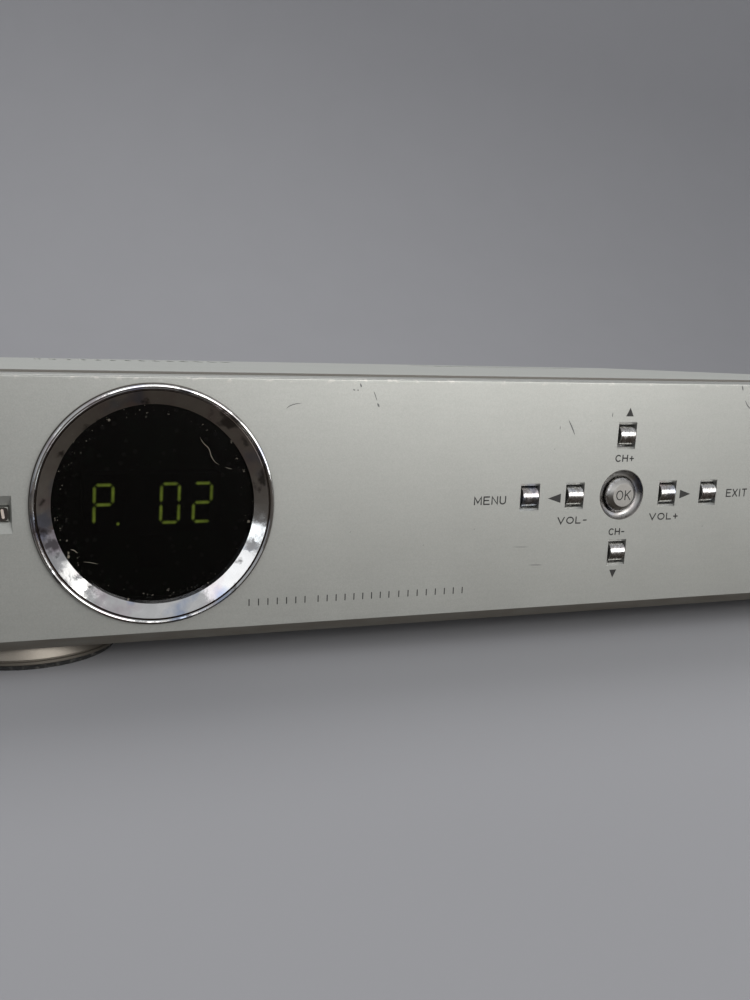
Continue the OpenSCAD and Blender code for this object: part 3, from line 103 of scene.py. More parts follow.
class Finish:
    """A procedural material: one Principled shader and the nodes that feed it, in millimetres."""

    def __init__(self, name, colour, roughness, metallic=0.0, **settings):
        self.material = bpy.data.materials.new(name)
        self.material.use_nodes = True
        self.nodes = self.material.node_tree.nodes
        self.links = self.material.node_tree.links
        self.shader = self.nodes["Principled BSDF"]
        self.set("Base Color", (*colour, 1))
        self.set("Roughness", roughness)
        self.set("Metallic", metallic)
        for socket, value in settings.items():
            self.set(socket.replace("_", " ").title().replace("Ior", "IOR"), value)
        place = self.nodes.new("ShaderNodeTexCoord")
        scale = self.nodes.new("ShaderNodeVectorMath")
        scale.operation = "SCALE"
        scale.inputs["Scale"].default_value = 1 / MM
        self.links.new(place.outputs["Object"], scale.inputs[0])
        self.place = scale.outputs[0]
        split = self.nodes.new("ShaderNodeSeparateXYZ")
        self.links.new(self.place, split.inputs[0])
        self.x, self.y, self.z = split.outputs

    def feed(self, socket, value):
        if isinstance(value, bpy.types.NodeSocket):
            self.links.new(value, socket)
        else:
            socket.default_value = value

    def set(self, socket, value):
        self.feed(self.shader.inputs[socket], value)

    def noise(self, scale, detail=2.0, stretch=(1, 1, 1), seed=0.0):
        """Smooth noise around 0.5. scale is in cycles per millimetre."""
        shift = self.nodes.new("ShaderNodeVectorMath")
        shift.operation = "MULTIPLY_ADD"
        self.feed(shift.inputs[0], self.place)
        shift.inputs[1].default_value = stretch
        shift.inputs[2].default_value = (seed, seed, seed)
        node = self.nodes.new("ShaderNodeTexNoise")
        self.feed(node.inputs["Vector"], shift.outputs[0])
        node.inputs["Scale"].default_value = scale
        node.inputs["Detail"].default_value = detail
        return node.outputs["Fac"]

    def radius(self, centre):
        """Distance from the Y line through a centre, in millimetres."""
        across = self.math("SUBTRACT", self.x, centre.x / MM)
        up = self.math("SUBTRACT", self.z, centre.z / MM)
        return self.math("SQRT", self.math("ADD", self.math("MULTIPLY", across, across),
                                           self.math("MULTIPLY", up, up)))

    def cells(self, scale):
        """Distance to the nearest of many scattered points."""
        node = self.nodes.new("ShaderNodeTexVoronoi")
        self.feed(node.inputs["Vector"], self.place)
        node.inputs["Scale"].default_value = scale
        return node.outputs["Distance"]

    def math(self, operation, first, second=0.0):
        node = self.nodes.new("ShaderNodeMath")
        node.operation = operation
        self.feed(node.inputs[0], first)
        self.feed(node.inputs[1], second)
        return node.outputs[0]

    def spread(self, value, low, high, to_low=0.0, to_high=1.0):
        """Maps low..high to to_low..to_high and stops at both ends."""
        node = self.nodes.new("ShaderNodeMapRange")
        node.clamp = True
        self.feed(node.inputs["Value"], value)
        node.inputs["From Min"].default_value = low
        node.inputs["From Max"].default_value = high
        node.inputs["To Min"].default_value = to_low
        node.inputs["To Max"].default_value = to_high
        return node.outputs[0]

    def mix(self, factor, first, second, blend="MIX"):
        node = self.nodes.new("ShaderNodeMix")
        node.data_type = "RGBA"
        node.blend_type = blend
        self.feed(node.inputs["Factor"], factor)
        for socket, value in ((node.inputs[6], first), (node.inputs[7], second)):
            self.feed(socket, (*value, 1) if isinstance(value, tuple) else value)
        return node.outputs[2]

    def between(self, factor, first, second):
        """A number that goes from first to second as factor goes from 0 to 1."""
        step = self.math("SUBTRACT", second, first)
        return self.math("ADD", first, self.math("MULTIPLY", factor, step))

    def shade(self, colour, value, amount):
        """colour made lighter and darker by amount, as value goes from 0 to 1."""
        grey = self.spread(value, 0.0, 1.0, 1 - amount, 1 + amount)
        return self.mix(1.0, colour, grey, "MULTIPLY")

    def bump(self, height, depth):
        """Relief of depth millimetres where height goes from 0 to 1."""
        node = self.nodes.new("ShaderNodeBump")
        node.inputs["Distance"].default_value = depth * MM
        self.feed(node.inputs["Height"], height)
        self.set("Normal", node.outputs[0])


def paint(name, colour, roughness=0.4, metallic=0.6):
    """Silver lacquer with fine grain, faint streaks, cloudy smudges and small rubbed marks.

    Returns the finish and its colour, for more marks on top.
    """
    finish = Finish(name, colour, roughness, metallic)
    grain = finish.noise(3.2, 3.0)
    streaks = finish.noise(1.1, 2.0, (0.12, 1.0, 1.0), 7.0)
    clouds = finish.noise(0.02, 3.0, seed=3.0)
    tone = finish.shade(colour, grain, 0.13)
    tone = finish.shade(tone, streaks, 0.03)
    tone = finish.shade(tone, clouds, 0.04)
    finish.set("Base Color", tone)
    rubbed = finish.noise(0.05, 4.0, seed=11.0)
    finish.set("Roughness", finish.spread(rubbed, 0.3, 0.7, roughness - 0.02, roughness + 0.03))
    finish.bump(grain, 0.012)
    return finish, tone


def front_paint():
    """The front's lacquer: chips along its top, painted shade on the downward-facing bevel along
    its foot, and a thin dark line round ring and bowl.
    """
    finish, tone = paint("silver_moulding", srgb(179, 180, 175))
    top = FACE_TOP / MM
    foot = FACE_FOOT / MM
    near_top = finish.spread(finish.z, top - 1.5, top - 0.5)
    chips = finish.spread(finish.noise(0.9, 4.0, (0.5, 1.0, 1.0), 21.0), 0.58, 0.64)
    chipped = finish.math("MULTIPLY", near_top, chips)
    tone = finish.mix(chipped, tone, srgb(200, 198, 192))
    # Painted shade: the bevel along the face's foot, which faces down, is darkened brown and
    # unevenly.
    below = finish.spread(finish.z, foot + 0.05, foot - 0.15)
    darkening = finish.spread(finish.noise(0.25, 3.0, (0.4, 1.0, 1.0), 31.0), 0.3, 0.7, 0.5, 0.75)
    tone = finish.mix(finish.math("MULTIPLY", below, darkening), tone, srgb(126, 117, 106))
    # A thin dark line on the face round the ring's foot and round the bowl's rim.
    distance = finish.radius(WINDOW)
    seam = finish.spread(distance, RING_RADIUS / MM + 0.3, RING_RADIUS / MM + 0.1)
    dish = finish.spread(finish.radius(OK_KEY), DISH_RADIUS + 0.2, DISH_RADIUS + 0.1)
    tone = finish.mix(finish.math("MAXIMUM", seam, dish), tone, srgb(64, 58, 53))
    finish.set("Base Color", tone)
    return finish.material


def cover_paint():
    """The cover's lacquer, with painted shade along the cut front edge that stands above the
    moulding.
    """
    finish, tone = paint("cover_paint", srgb(188, 190, 184), 0.52, 0.3)
    # Painted shade: the cut front edge is darkened where it stands in shadow above the moulding.
    shaded_edge = finish.spread(finish.y, COVER_FRONT / MM + 0.25, COVER_FRONT / MM + 0.1)
    finish.set("Base Color", finish.mix(shaded_edge, tone, srgb(112, 109, 103)))
    return finish.material


def plain_paint(name, colour, roughness=0.4, metallic=0.6):
    return paint(name, colour, roughness, metallic)[0].material


def metal(name, colour, roughness, grain=2.0, stretch=(1, 1, 1), depth=0.01, metallic=1.0):
    """Bare or plated metal with a fine finish and slightly uneven gloss."""
    finish = Finish(name, colour, roughness, metallic)
    marks = finish.noise(grain, 3.0, stretch)
    stains = finish.noise(0.06, 3.0, seed=5.0)
    finish.set("Base Color", finish.shade(finish.shade(colour, marks, 0.07), stains, 0.05))
    finish.set("Roughness", finish.spread(stains, 0.3, 0.7, roughness * 0.94, roughness * 1.08))
    finish.bump(marks, depth)
    return finish.material


def plastic(name, colour, roughness, grain=1.6, depth=0.02, dust=0.0, **settings):
    """Moulded plastic with a fine grain and a little dust."""
    finish = Finish(name, colour, roughness, **settings)
    skin = finish.noise(grain, 3.0)
    patches = finish.noise(0.08, 3.0, seed=9.0)
    tone = finish.shade(finish.shade(colour, skin, 0.08), patches, 0.08)
    if dust:
        specks = finish.spread(finish.noise(0.7, 5.0, seed=17.0), 0.52, 0.75, 0.0, dust)
        tone = finish.mix(specks, tone, srgb(150, 146, 138))
    finish.set("Base Color", tone)
    finish.set("Roughness", finish.spread(patches, 0.3, 0.7, roughness * 0.85, roughness * 1.15))
    finish.bump(skin, depth)
    return finish.material


def chrome(name, roughness, wear, waves):
    """Chrome on moulded plastic: slightly wavy, hazy in patches, with painted pink and blue
    reflections in random patches.

    Returns the finish, its colour and its roughness, for more marks on top.
    """
    plate = srgb(216, 216, 215)
    finish = Finish(name, plate, roughness, 1.0)
    # Painted reflections: pink and blue patches in the base colour stand in for coloured
    # surroundings mirrored in the plate.
    pink_reflection = finish.spread(finish.noise(0.11, 3.0, seed=2.0), 0.5, 0.66, 0.0, 0.55)
    tone = finish.mix(pink_reflection, plate, srgb(190, 168, 178))
    blue_reflection = finish.spread(finish.noise(0.13, 3.0, seed=12.0), 0.54, 0.68, 0.0, 0.6)
    tone = finish.mix(blue_reflection, tone, srgb(146, 166, 200))
    haze = finish.noise(wear, 4.0, seed=4.0)
    tone = finish.shade(tone, haze, 0.14)
    finish.set("Base Color", tone)
    gloss = finish.spread(haze, 0.35, 0.75, roughness * 0.7, roughness * 2.4)
    finish.set("Roughness", gloss)
    finish.bump(finish.noise(0.22, 3.0, seed=8.0), waves)
    return finish, tone, gloss


def ring_chrome():
    """The window ring's chrome, with dark smudges that also stand in for painted dark reflections,
    and darker in its fine groove and along its foot.
    """
    finish, tone, _ = chrome("chrome_plate", 0.07, 0.4, 0.05)
    # Dark patches: smudges on the plate, and painted dark reflections of the surroundings.
    smudge_and_reflection = finish.spread(finish.noise(0.16, 4.0, seed=27.0), 0.6, 0.66, 0.0, 0.75)
    tone = finish.mix(smudge_and_reflection, tone, srgb(70, 66, 66))
    distance = finish.radius(WINDOW)
    # Darker in the fine groove and along the ring's foot.
    inside = finish.spread(distance, RING_RADIUS / MM - 1.5, RING_RADIUS / MM - 1.3)
    outside = finish.spread(distance, RING_RADIUS / MM - 0.95, RING_RADIUS / MM - 1.1)
    groove = finish.math("MULTIPLY", inside, outside)
    foot = finish.spread(distance, RING_RADIUS / MM - 0.12, RING_RADIUS / MM - 0.02)
    darkening = finish.math("MAXIMUM", groove, foot)
    finish.set("Base Color", finish.mix(darkening, tone, srgb(92, 84, 78)))
    return finish.material


def key_chrome():
    """The keys' chrome: worn in small scratches, and satin on the centre key."""
    finish, tone, gloss = chrome("key_chrome", 0.17, 0.9, 0.03)
    worn = finish.spread(finish.noise(1.6, 5.0, (1.0, 1.0, 0.55), 41.0), 0.42, 0.62, 0.0, 0.6)
    tone = finish.mix(worn, tone, srgb(128, 120, 112))
    finish.bump(finish.noise(1.4, 4.0, seed=43.0), 0.02)
    satin_part = finish.spread(finish.radius(OK_KEY), SATIN_RADIUS, SATIN_RADIUS - 0.3)
    brushed = finish.noise(2.6, 3.0, (1.0, 1.0, 0.4), 6.0)
    satin = finish.shade(srgb(186, 184, 180), brushed, 0.12)
    finish.set("Base Color", finish.mix(satin_part, tone, satin))
    finish.set("Roughness", finish.between(satin_part, gloss, 0.34))
    return finish.material


def dish_plate():
    """Dull plating in the bowl round the centre key, with painted shade near its throat, where the
    bowl is deepest.
    """
    finish, tone, _ = chrome("dish_plate", 0.3, 0.3, 0.004)
    throat = DISH_THROAT
    # Painted shade: darker towards the throat, deep in the bowl.
    throat_shade = finish.spread(finish.radius(OK_KEY), throat + 0.65, throat + 0.05, 0.45, 0.85)
    finish.set("Base Color", finish.mix(throat_shade, tone, srgb(104, 99, 92)))
    return finish.material


def smoked_lens():
    """Dark clear plastic, with crumbs of dust along its rim."""
    finish = Finish("smoked_lens", LENS_TINT, 0.02, transmission_weight=1.0, ior=1.35)
    distance = finish.radius(WINDOW)
    rim = finish.spread(distance, RING_RADIUS / MM - 9, RING_RADIUS / MM - 5.5)
    crumbs = finish.spread(finish.noise(1.1, 5.0, seed=14.0), 0.66, 0.7)
    dust = finish.math("MULTIPLY", rim, crumbs)
    finish.set("Base Color", finish.mix(dust, LENS_TINT, srgb(118, 112, 100)))
    finish.set("Transmission Weight", finish.math("SUBTRACT", 1.0, dust))
    return finish.material


def light(name, colour, strength):
    """A light segment: brightest along its spine, uneven from place to place."""
    finish = Finish(name, tuple(c * 0.1 for c in colour), 0.5)
    uneven = finish.spread(finish.noise(0.5, 2.0, seed=1.0), 0.3, 0.7)
    finish.set("Emission Color", finish.mix(uneven, colour, tuple(c * 0.6 for c in colour)))
    spine = finish.nodes.new("ShaderNodeAttribute")
    spine.attribute_name = GLOW
    fade = finish.spread(spine.outputs["Fac"], 0.0, 0.75, 0.06, 1.0)
    finish.set("Emission Strength", finish.math("MULTIPLY", fade, strength))
    return finish.material


def phono_colours():
    """White, red and yellow inserts, from the lowest socket to the highest."""
    low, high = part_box("rca_inserts")
    finish = Finish("phono_colours", srgb(225, 222, 212), 0.4)
    third = (high.z - low.z) / MM / 3
    second = finish.math("GREATER_THAN", finish.z, low.z / MM + third)
    last = finish.math("GREATER_THAN", finish.z, low.z / MM + 2 * third)
    tone = finish.mix(second, srgb(225, 222, 212), srgb(170, 30, 28))
    tone = finish.mix(last, tone, srgb(222, 178, 40))
    finish.set("Base Color", finish.shade(tone, finish.noise(0.8, 3.0), 0.08))
    finish.bump(finish.noise(1.5, 2.0), 0.01)
    return finish.material


def circuit_board(name, colour, track):
    """Solder mask with the tracks showing faintly, and tinned dots."""
    finish = Finish(name, colour, 0.35)
    lines = finish.noise(0.5, 1.0, (0.3, 1.0, 0.3), 4.0)
    tone = finish.mix(finish.spread(lines, 0.5, 0.53), colour, track)
    dots = finish.spread(finish.cells(0.35), 0.22, 0.18)
    finish.set("Base Color", finish.mix(dots, tone, srgb(170, 170, 165)))
    finish.bump(lines, 0.03)
    return finish.material


FINISHES = {
    "silver_moulding": front_paint(),
    "standby_key": plain_paint("standby_key", srgb(170, 171, 164)),
    "cover_paint": cover_paint(),
    "foot_silver": plain_paint("foot_silver", srgb(128, 122, 113), 0.4, 0.75),
    "chrome_plate": ring_chrome(),
    "key_chrome": key_chrome(),
    "dish_plate": dish_plate(),
    "smoked_lens": smoked_lens(),
    "display_black": plastic("display_black", srgb(16, 17, 16), 0.6),
    "segment_light": plastic("segment_unlit", srgb(22, 25, 18), 0.45),
    "sensor_resin": plastic("sensor_resin", srgb(38, 18, 24), 0.15),
    "black_plastic": plastic("black_plastic", srgb(34, 34, 34), 0.55),
    "switch_body": metal("switch_body", srgb(176, 176, 172), 0.35),
    "circuit_green": circuit_board("circuit_green", srgb(24, 84, 44), srgb(40, 112, 60)),
    "board_tan": circuit_board("board_tan", srgb(176, 134, 82), srgb(150, 104, 56)),
    "zinc_steel": metal("zinc_steel", srgb(186, 188, 190), 0.46, 1.2, (0.25, 1.0, 1.0), 0.01, 0.7),
    "pad_rubber": plastic("pad_rubber", srgb(28, 28, 28), 0.85, 1.2, 0.05, 0.3),
    "black_screw": metal("black_screw", srgb(52, 52, 54), 0.4),
    "zinc_screw": metal("zinc_screw", srgb(196, 196, 192), 0.28),
    "brass_part": metal("brass_part", srgb(198, 166, 96), 0.28),
    "chip_black": plastic("chip_black", srgb(38, 38, 40), 0.6),
    "heatsink_metal": metal("heatsink_metal", srgb(176, 178, 180), 0.4, 1.0, (1.0, 0.2, 1.0)),
    "tinned_can": metal("tinned_can", srgb(196, 197, 194), 0.25),
    "nickel_thread": metal("nickel_thread", srgb(204, 198, 184), 0.22),
    "socket_black": plastic("socket_black", srgb(30, 30, 31), 0.5, 1.4, 0.03, 0.15),
    "phono_nickel": metal("phono_nickel", srgb(208, 205, 198), 0.18),
    "phono_colours": phono_colours(),
    "serial_metal": metal("serial_metal", srgb(192, 192, 188), 0.25),
    "transformer_body": plastic("transformer_body", srgb(150, 118, 50), 0.5),
    "capacitor_sleeve": plastic("capacitor_sleeve", srgb(30, 40, 84), 0.3),
    "fuse_metal": metal("fuse_metal", srgb(200, 198, 192), 0.2),
    "inlet_black": plastic("inlet_black", srgb(26, 26, 27), 0.45, 1.4, 0.03, 0.12),
    "pin_metal": metal("pin_metal", srgb(206, 200, 186), 0.2),
    "rocker_black": plastic("rocker_black", srgb(24, 24, 25), 0.28, 1.0, 0.01),
    "cable_grey": plastic("cable_grey", srgb(168, 170, 172), 0.5),
    "cable_white": plastic("cable_white", srgb(214, 210, 198), 0.5),
}
INK = plastic("ink", srgb(46, 45, 44), 0.6, 2.5, 0.01)
SCUFF = plastic("scuff", srgb(104, 104, 104), 0.7, 2.0, 0.01)
# Painted shade and painted highlight for the standby key: a dark patch for its shaded gap and a
# light bar for a glint.
STANDBY_SHADE = plastic("standby_painted_gap_shade", srgb(38, 30, 24), 0.5, 2.0, 0.01)
STANDBY_GLINT = plastic("standby_painted_glint", srgb(196, 184, 174), 0.5, 0.9, 0.01)
SCRATCH = plastic("scratch", srgb(132, 126, 112), 0.5, 2.0, 0.01)


# How far each piece's edges are rounded, in millimetres
KEY_EDGE = 0.16
EDGES = {
    "front_panel": 0.18, "top_cover": 0.15, "rear_panel": 0.12, "chassis": 0.12,
    "key_standby": 0.15, "foot_pads": 0.2, "scart_tv": 0.25, "scart_vcr": 0.25,
    "rca_block": 0.3, "mains_inlet": 0.3, "switch_housing": 0.3, "power_rocker": 0.3,
    "f_connectors": 0.2, "serial_port": 0.15, "transformer": 0.5, "tuner_can": 0.2,
    "key_menu": KEY_EDGE, "key_vol_down": KEY_EDGE, "key_ok": KEY_EDGE, "key_vol_up": KEY_EDGE,
    "key_exit": KEY_EDGE, "key_ch_up": KEY_EDGE, "key_ch_down": KEY_EDGE,
}


def dress_nodes():
    """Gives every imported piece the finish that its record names, and softens its edges."""
    for part in frame["record"]["subparts"]:
        piece = NODES[part["node"]]
        piece.data.materials.clear()
        piece.data.materials.append(FINISHES[part["material_slot"]])
        if part["node"] in EDGES:
            soften(piece, EDGES[part["node"]])


def soften(piece, width):
    """Rounds a piece's sharp edges by width millimetres, and keeps its flat faces flat."""
    weld = piece.modifiers.new("weld", "WELD")
    weld.merge_threshold = 0.002 * MM
    flat = piece.modifiers.new("flat_faces", "DECIMATE")
    flat.decimate_type = "DISSOLVE"
    flat.angle_limit = math.radians(0.5)
    bevel = piece.modifiers.new("edges", "BEVEL")
    bevel.width = width * MM
    bevel.segments = 2
    bevel.limit_method = "ANGLE"
    bevel.angle_limit = math.radians(35)
    bevel.use_clamp_overlap = True
    piece.modifiers.new("normals", "WEIGHTED_NORMAL").keep_sharp = True


# ---- pieces made here ----


def metres(outlines):
    """Outlines in millimetres, as metres."""
    return [[(x * MM, z * MM) for x, z in line] for line in outlines]


def new_piece(name, mesh, material, body):
    piece = bpy.data.objects.new(name, mesh)
    bpy.context.scene.collection.objects.link(piece)
    mesh.materials.append(material)
    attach(piece, body)
    return piece


def decal(name, outlines, depth, height, material, body="case"):
    """Flat shapes given as lists of (x, z) points, standing height proud of y = depth."""
    form = bmesh.new()
    for outline in outlines:
        back = [form.verts.new((x, depth, z)) for x, z in outline]
        front = [form.verts.new((x, depth - height, z)) for x, z in outline]
        form.faces.new(front)
        form.faces.new(back[::-1])
        for i in range(len(outline)):
            j = (i + 1) % len(outline)
            form.faces.new((front[i], back[i], back[j], front[j]))
    bmesh.ops.recalc_face_normals(form, faces=form.faces)
    mesh = bpy.data.meshes.new(name)
    form.to_mesh(mesh)
    form.free()
    return new_piece(name, mesh, material, body)


def stroke(points, width, ends=6):
    """Outline of a line of the given width through points, with round ends."""
    points = [Vector(p) for p in points]
    half = width / 2
    sides = ([], [])
    for i, point in enumerate(points):
        before = (point - points[i - 1]).normalized() if i else None
        after = (points[i + 1] - point).normalized() if i + 1 < len(points) else None
        along = ((before or after) + (after or before)).normalized()
        normal = Vector((-along.y, along.x))
        turn = (before or after).dot(along)
        reach = half / max(turn, 0.5)
        sides[0].append(point + normal * reach)
        sides[1].append(point - normal * reach)

    def cap(centre, direction):
        start = math.atan2(direction.y, direction.x) + math.pi / 2
        return [
            centre + half * Vector((math.cos(start - math.pi * k / ends),
                                    math.sin(start - math.pi * k / ends)))
            for k in range(1, ends)
        ]

    last = (points[-1] - points[-2]).normalized()
    first = (points[0] - points[1]).normalized()
    return sides[0] + cap(points[-1], last) + sides[1][::-1] + cap(points[0], first)


def scratch(points, width, steps=4):
    """Outline of a smooth curved mark through points, full in its middle and thin at its ends."""
    points = [Vector(p) for p in points]
    ends = [2 * points[0] - points[1], *points, 2 * points[-1] - points[-2]]
    path = []
    for a, b, c, d in zip(ends, ends[1:], ends[2:], ends[3:]):
        for k in range(steps):
            t = k / steps
            path.append((2 * b + (c - a) * t + (2 * a - 5 * b + 4 * c - d) * t ** 2
                         + (3 * b - a - 3 * c + d) * t ** 3) / 2)
    path.append(points[-1])
    sides = ([], [])
    for i in range(1, len(path) - 1):
        along = (path[i + 1] - path[i - 1]).normalized()
        half = width / 2 * math.sin(math.pi * i / (len(path) - 1)) ** 0.6
        sides[0].append(path[i] + half * Vector((-along.y, along.x)))
        sides[1].append(path[i] - half * Vector((-along.y, along.x)))
    return [path[0], *sides[0], path[-1], *sides[1][::-1]]


def arc(centre, radii, start, end, steps=14):
    """Points of an arc, angles in degrees, counted anticlockwise from the right."""
    return [
        (centre[0] + radii[0] * math.cos(math.radians(start + (end - start) * k / steps)),
        centre[1] + radii[1] * math.sin(math.radians(start + (end - start) * k / steps)))
        for k in range(steps + 1)
    ]


# Strokes of each letter in a box one unit wide and one unit high
LETTERS = {
    "M": [[(0, 0), (0, 1), (0.5, 0.22), (1, 1), (1, 0)]],
    "E": [[(1, 0), (0, 0), (0, 1), (1, 1)], [(0, 0.52), (0.85, 0.52)]],
    "N": [[(0, 0), (0, 1), (1, 0), (1, 1)]],
    "U": [[(0, 1), (0, 0.35)] + arc((0.5, 0.35), (0.5, 0.35), 180, 360)[1:-1]
          + [(1, 0.35), (1, 1)]],
    "X": [[(0, 0), (1, 1)], [(0, 1), (1, 0)]],
    "I": [[(0.5, 0), (0.5, 1)]],
    "T": [[(0, 1), (1, 1)], [(0.5, 1), (0.5, 0)]],
    "O": [arc((0.5, 0.5), (0.5, 0.5), 90, 450, 24)],
    "K": [[(0, 0), (0, 1)], [(1, 1), (0, 0.38)], [(0.33, 0.58), (1, 0)]],
    "C": [arc((0.55, 0.5), (0.55, 0.5), 48, 312, 20)],
    "H": [[(0, 0), (0, 1)], [(1, 0), (1, 1)], [(0, 0.52), (1, 0.52)]],
    "V": [[(0, 1), (0.5, 0), (1, 1)]],
    "L": [[(0, 1), (0, 0), (1, 0)]],
    "+": [[(0.08, 0.45), (0.92, 0.45)], [(0.5, 0.8), (0.5, 0.1)]],
    "-": [[(0.1, 0.45), (0.9, 0.45)]],
}
LETTER_WIDTHS = {"M": 1.1, "I": 0.25, "+": 0.8, "-": 0.6, "O": 1.1, "L": 0.75, "V": 1.05}


def word(text, centre, width, height, line):
    """Outlines of a word in plain strokes, filling a box of the given width and height."""
    widths = [LETTER_WIDTHS.get(letter, 0.9) for letter in text]
    gap = 0.45
    unit = (width - line) / (sum(widths) + gap * (len(text) - 1))
    left = centre[0] - width / 2 + line / 2
    outlines = []
    for letter, share in zip(text, widths):
        for points in LETTERS[letter]:
            placed = [(left + x * share * unit,
                       centre[1] + (z - 0.5) * (height - line)) for x, z in points]
            outlines.append(stroke(placed, line))
        left += (share + gap) * unit
    return outlines


# Function words beside the keys: text, key, offset of the middle across and up, width, height
WORDS = [
    ("MENU", "key_menu", (-11.5, -0.55), 9.2, 2.25),
    ("EXIT", "key_exit", (9.8, -0.3), 7.1, 2.3),
    ("CH+", "key_ch_up", (-0.05, -6.0), 5.9, 1.95),
    ("CH-", "key_ch_down", (-0.5, 5.8), 5.1, 1.95),
    ("VOL-", "key_vol_down", (-0.15, -6.5), 9.1, 2.0),
    ("VOL+", "key_vol_up", (-0.35, -6.3), 9.5, 2.0),
]
WORD_LINE = 0.35  # width of the strokes
OK_SIZE = (4.5, 2.7)
OK_LINE = 0.32
INK_HEIGHT = 0.015


def key_words():
    """The function words beside the keys, and OK on the centre key."""
    for text, key, (across, up), width, height in WORDS:
        place = middle(key)
        centre = (place.x / MM + across, place.z / MM + up)
        decal("word_" + key[4:], metres(word(text, centre, width, height, WORD_LINE)), FACE_Y,
              INK_HEIGHT * MM, INK)
    centre = (OK_KEY.x / MM, OK_KEY.z / MM)
    decal("word_ok", metres(word("OK", centre, *OK_SIZE, OK_LINE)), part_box("key_ok")[0].y,
          INK_HEIGHT * MM, INK, "ok_key")


# Arrow heads: name, key, offset of the middle across and up, direction, length, width
ARROWS = [
    ("up", "key_ch_up", (0.3, 6.3), (0, 1), 2.3, 2.3),
    ("down", "key_ch_down", (-0.6, -6.0), (0, -1), 2.3, 2.2),
    ("left", "key_vol_down", (-6.1, -0.45), (-1, 0), 3.8, 2.5),
    ("right", "key_vol_up", (5.9, -0.25), (1, 0), 3.5, 2.4),
]


def arrows():
    """The solid arrow heads beside four of the keys."""
    for name, key, (across, up), (dx, dz), length, width in ARROWS:
        place = middle(key)
        x = place.x + across * MM
        z = place.z + up * MM
        tip = (x + dx * length / 2 * MM, z + dz * length / 2 * MM)
        ends = [(x - dx * length / 2 * MM + side * dz * width / 2 * MM,
                 z - dz * length / 2 * MM - side * dx * width / 2 * MM) for side in (-1, 1)]
        decal("arrow_" + name, [[tip, *ends]], FACE_Y, INK_HEIGHT * MM, INK)


# Groups of ticks: first and last, from the window's centre, and how many
TICK_GROUPS = [(22.2, 36.4, 7), (39.8, 58.7, 9), (61.4, 79.2, 8)]
TICK_LOW = 14.2  # their lower and upper ends above the floor
TICK_HIGH = 15.7
TICK_LINE = 0.28  # width of the strokes


def tick_rows():
    """Three groups of plain fine ticks under the window."""
    outlines = []
    for start, end, count in TICK_GROUPS:
        for i in range(count):
            x = WINDOW.x + (start + (end - start) * i / (count - 1)) * MM
            outlines.append(stroke([(x, TICK_LOW * MM), (x, TICK_HIGH * MM)], TICK_LINE * MM))
    decal("tick_rows", outlines, FACE_Y, INK_HEIGHT * MM, INK)


# Scuffs on the face: points (x from the window's centre, z above the floor) and width
SCUFFS = [
    ([(49.1, 67.9), (49.5, 66.9)], 0.35),
    ([(47.3, 66.4), (47.9, 66.2)], 0.3),
    ([(48.4, 66.3), (48.8, 66.2)], 0.35),
    ([(52.6, 66.1), (53.1, 65.0), (53.6, 63.6)], 0.2),
    ([(53.7, 63.2), (54.2, 62.2)], 0.45),
    ([(30.8, 61.7), (31.6, 62.4), (33.1, 62.9), (34.7, 63.1)], 0.2),
    ([(106.9, 59.2), (108.1, 57.2), (109.2, 55.1)], 0.32),
    ([(104.6, 57.6), (104.6, 56.6)], 0.2),
    ([(120.1, 61.1), (120.0, 59.8)], 0.25),
    ([(160.4, 68.6), (161.0, 67.0)], 0.4),
    ([(161.9, 64.6), (163.2, 62.9), (165.1, 61.6)], 0.3),
    ([(93.0, 25.9), (98.0, 25.7)], 0.14),
    ([(98.1, 20.8), (102.6, 20.6)], 0.2),
    ([(47.7, 31.6), (47.8, 31.5)], 0.4),
    ([(67.5, 27.5), (67.6, 27.4)], 0.4),
    ([(81.6, 31.1), (81.7, 31.0)], 0.45),
    ([(103.4, 51.6), (103.5, 51.5)], 0.5),
    ([(113.6, 58.9), (113.7, 58.8)], 0.4),
    ([(152.4, 29.5), (152.5, 29.4)], 0.4),
]


MARK_HEIGHT = 0.01  # how far scuffs and scratches stand proud, in millimetres


def scratches(marks):
    """Outlines of marks, in metres."""
    return [scratch([(WINDOW.x + x * MM, z * MM) for x, z in points], width * MM)
            for points, width in marks]


def face_scuffs():
    decal("face_scuffs", scratches(SCUFFS), FACE_Y, MARK_HEIGHT * MM, SCUFF)


# Fine scratches on the window, placed in the same way
SCRATCHES = [
    ([(10.6, 55.2), (11.4, 53.7), (12.7, 52.4), (13.3, 50.6), (14.1, 49.3), (15.3, 48.4)],
     0.13),
    ([(16.6, 47.9), (18.4, 47.4)], 0.1),
    ([(-19.4, 29.5), (-18.6, 29.3), (-17.7, 28.5)], 0.17),
    ([(-16.6, 26.5), (-14.8, 26.2), (-13.2, 25.8)], 0.1),
]


def lens_scratches():
    decal("lens_scratches", scratches(SCRATCHES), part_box("window_lens")[0].y,
          MARK_HEIGHT * MM, SCRATCH)


DISH_SKIN = 0.03  # thickness of its lining, in millimetres


def ok_dish():
    """A thin plated lining in the bowl round the centre key."""

    def bowl(lift, steps=10):
        for k in range(steps + 1):
            a = math.pi / 2 * k / steps
            yield (DISH_THROAT - lift + (DISH_RADIUS - DISH_THROAT) * math.cos(a),
                   (DISH_DEPTH - lift) * math.sin(a))

    profile = [*bowl(DISH_SKIN), *reversed([*bowl(DISH_SKIN / 3)])]
    new_piece("ok_dish", lathe("ok_dish", profile, OK_KEY.x, FACE_Y, OK_KEY.z),
              FINISHES["dish_plate"], "case")


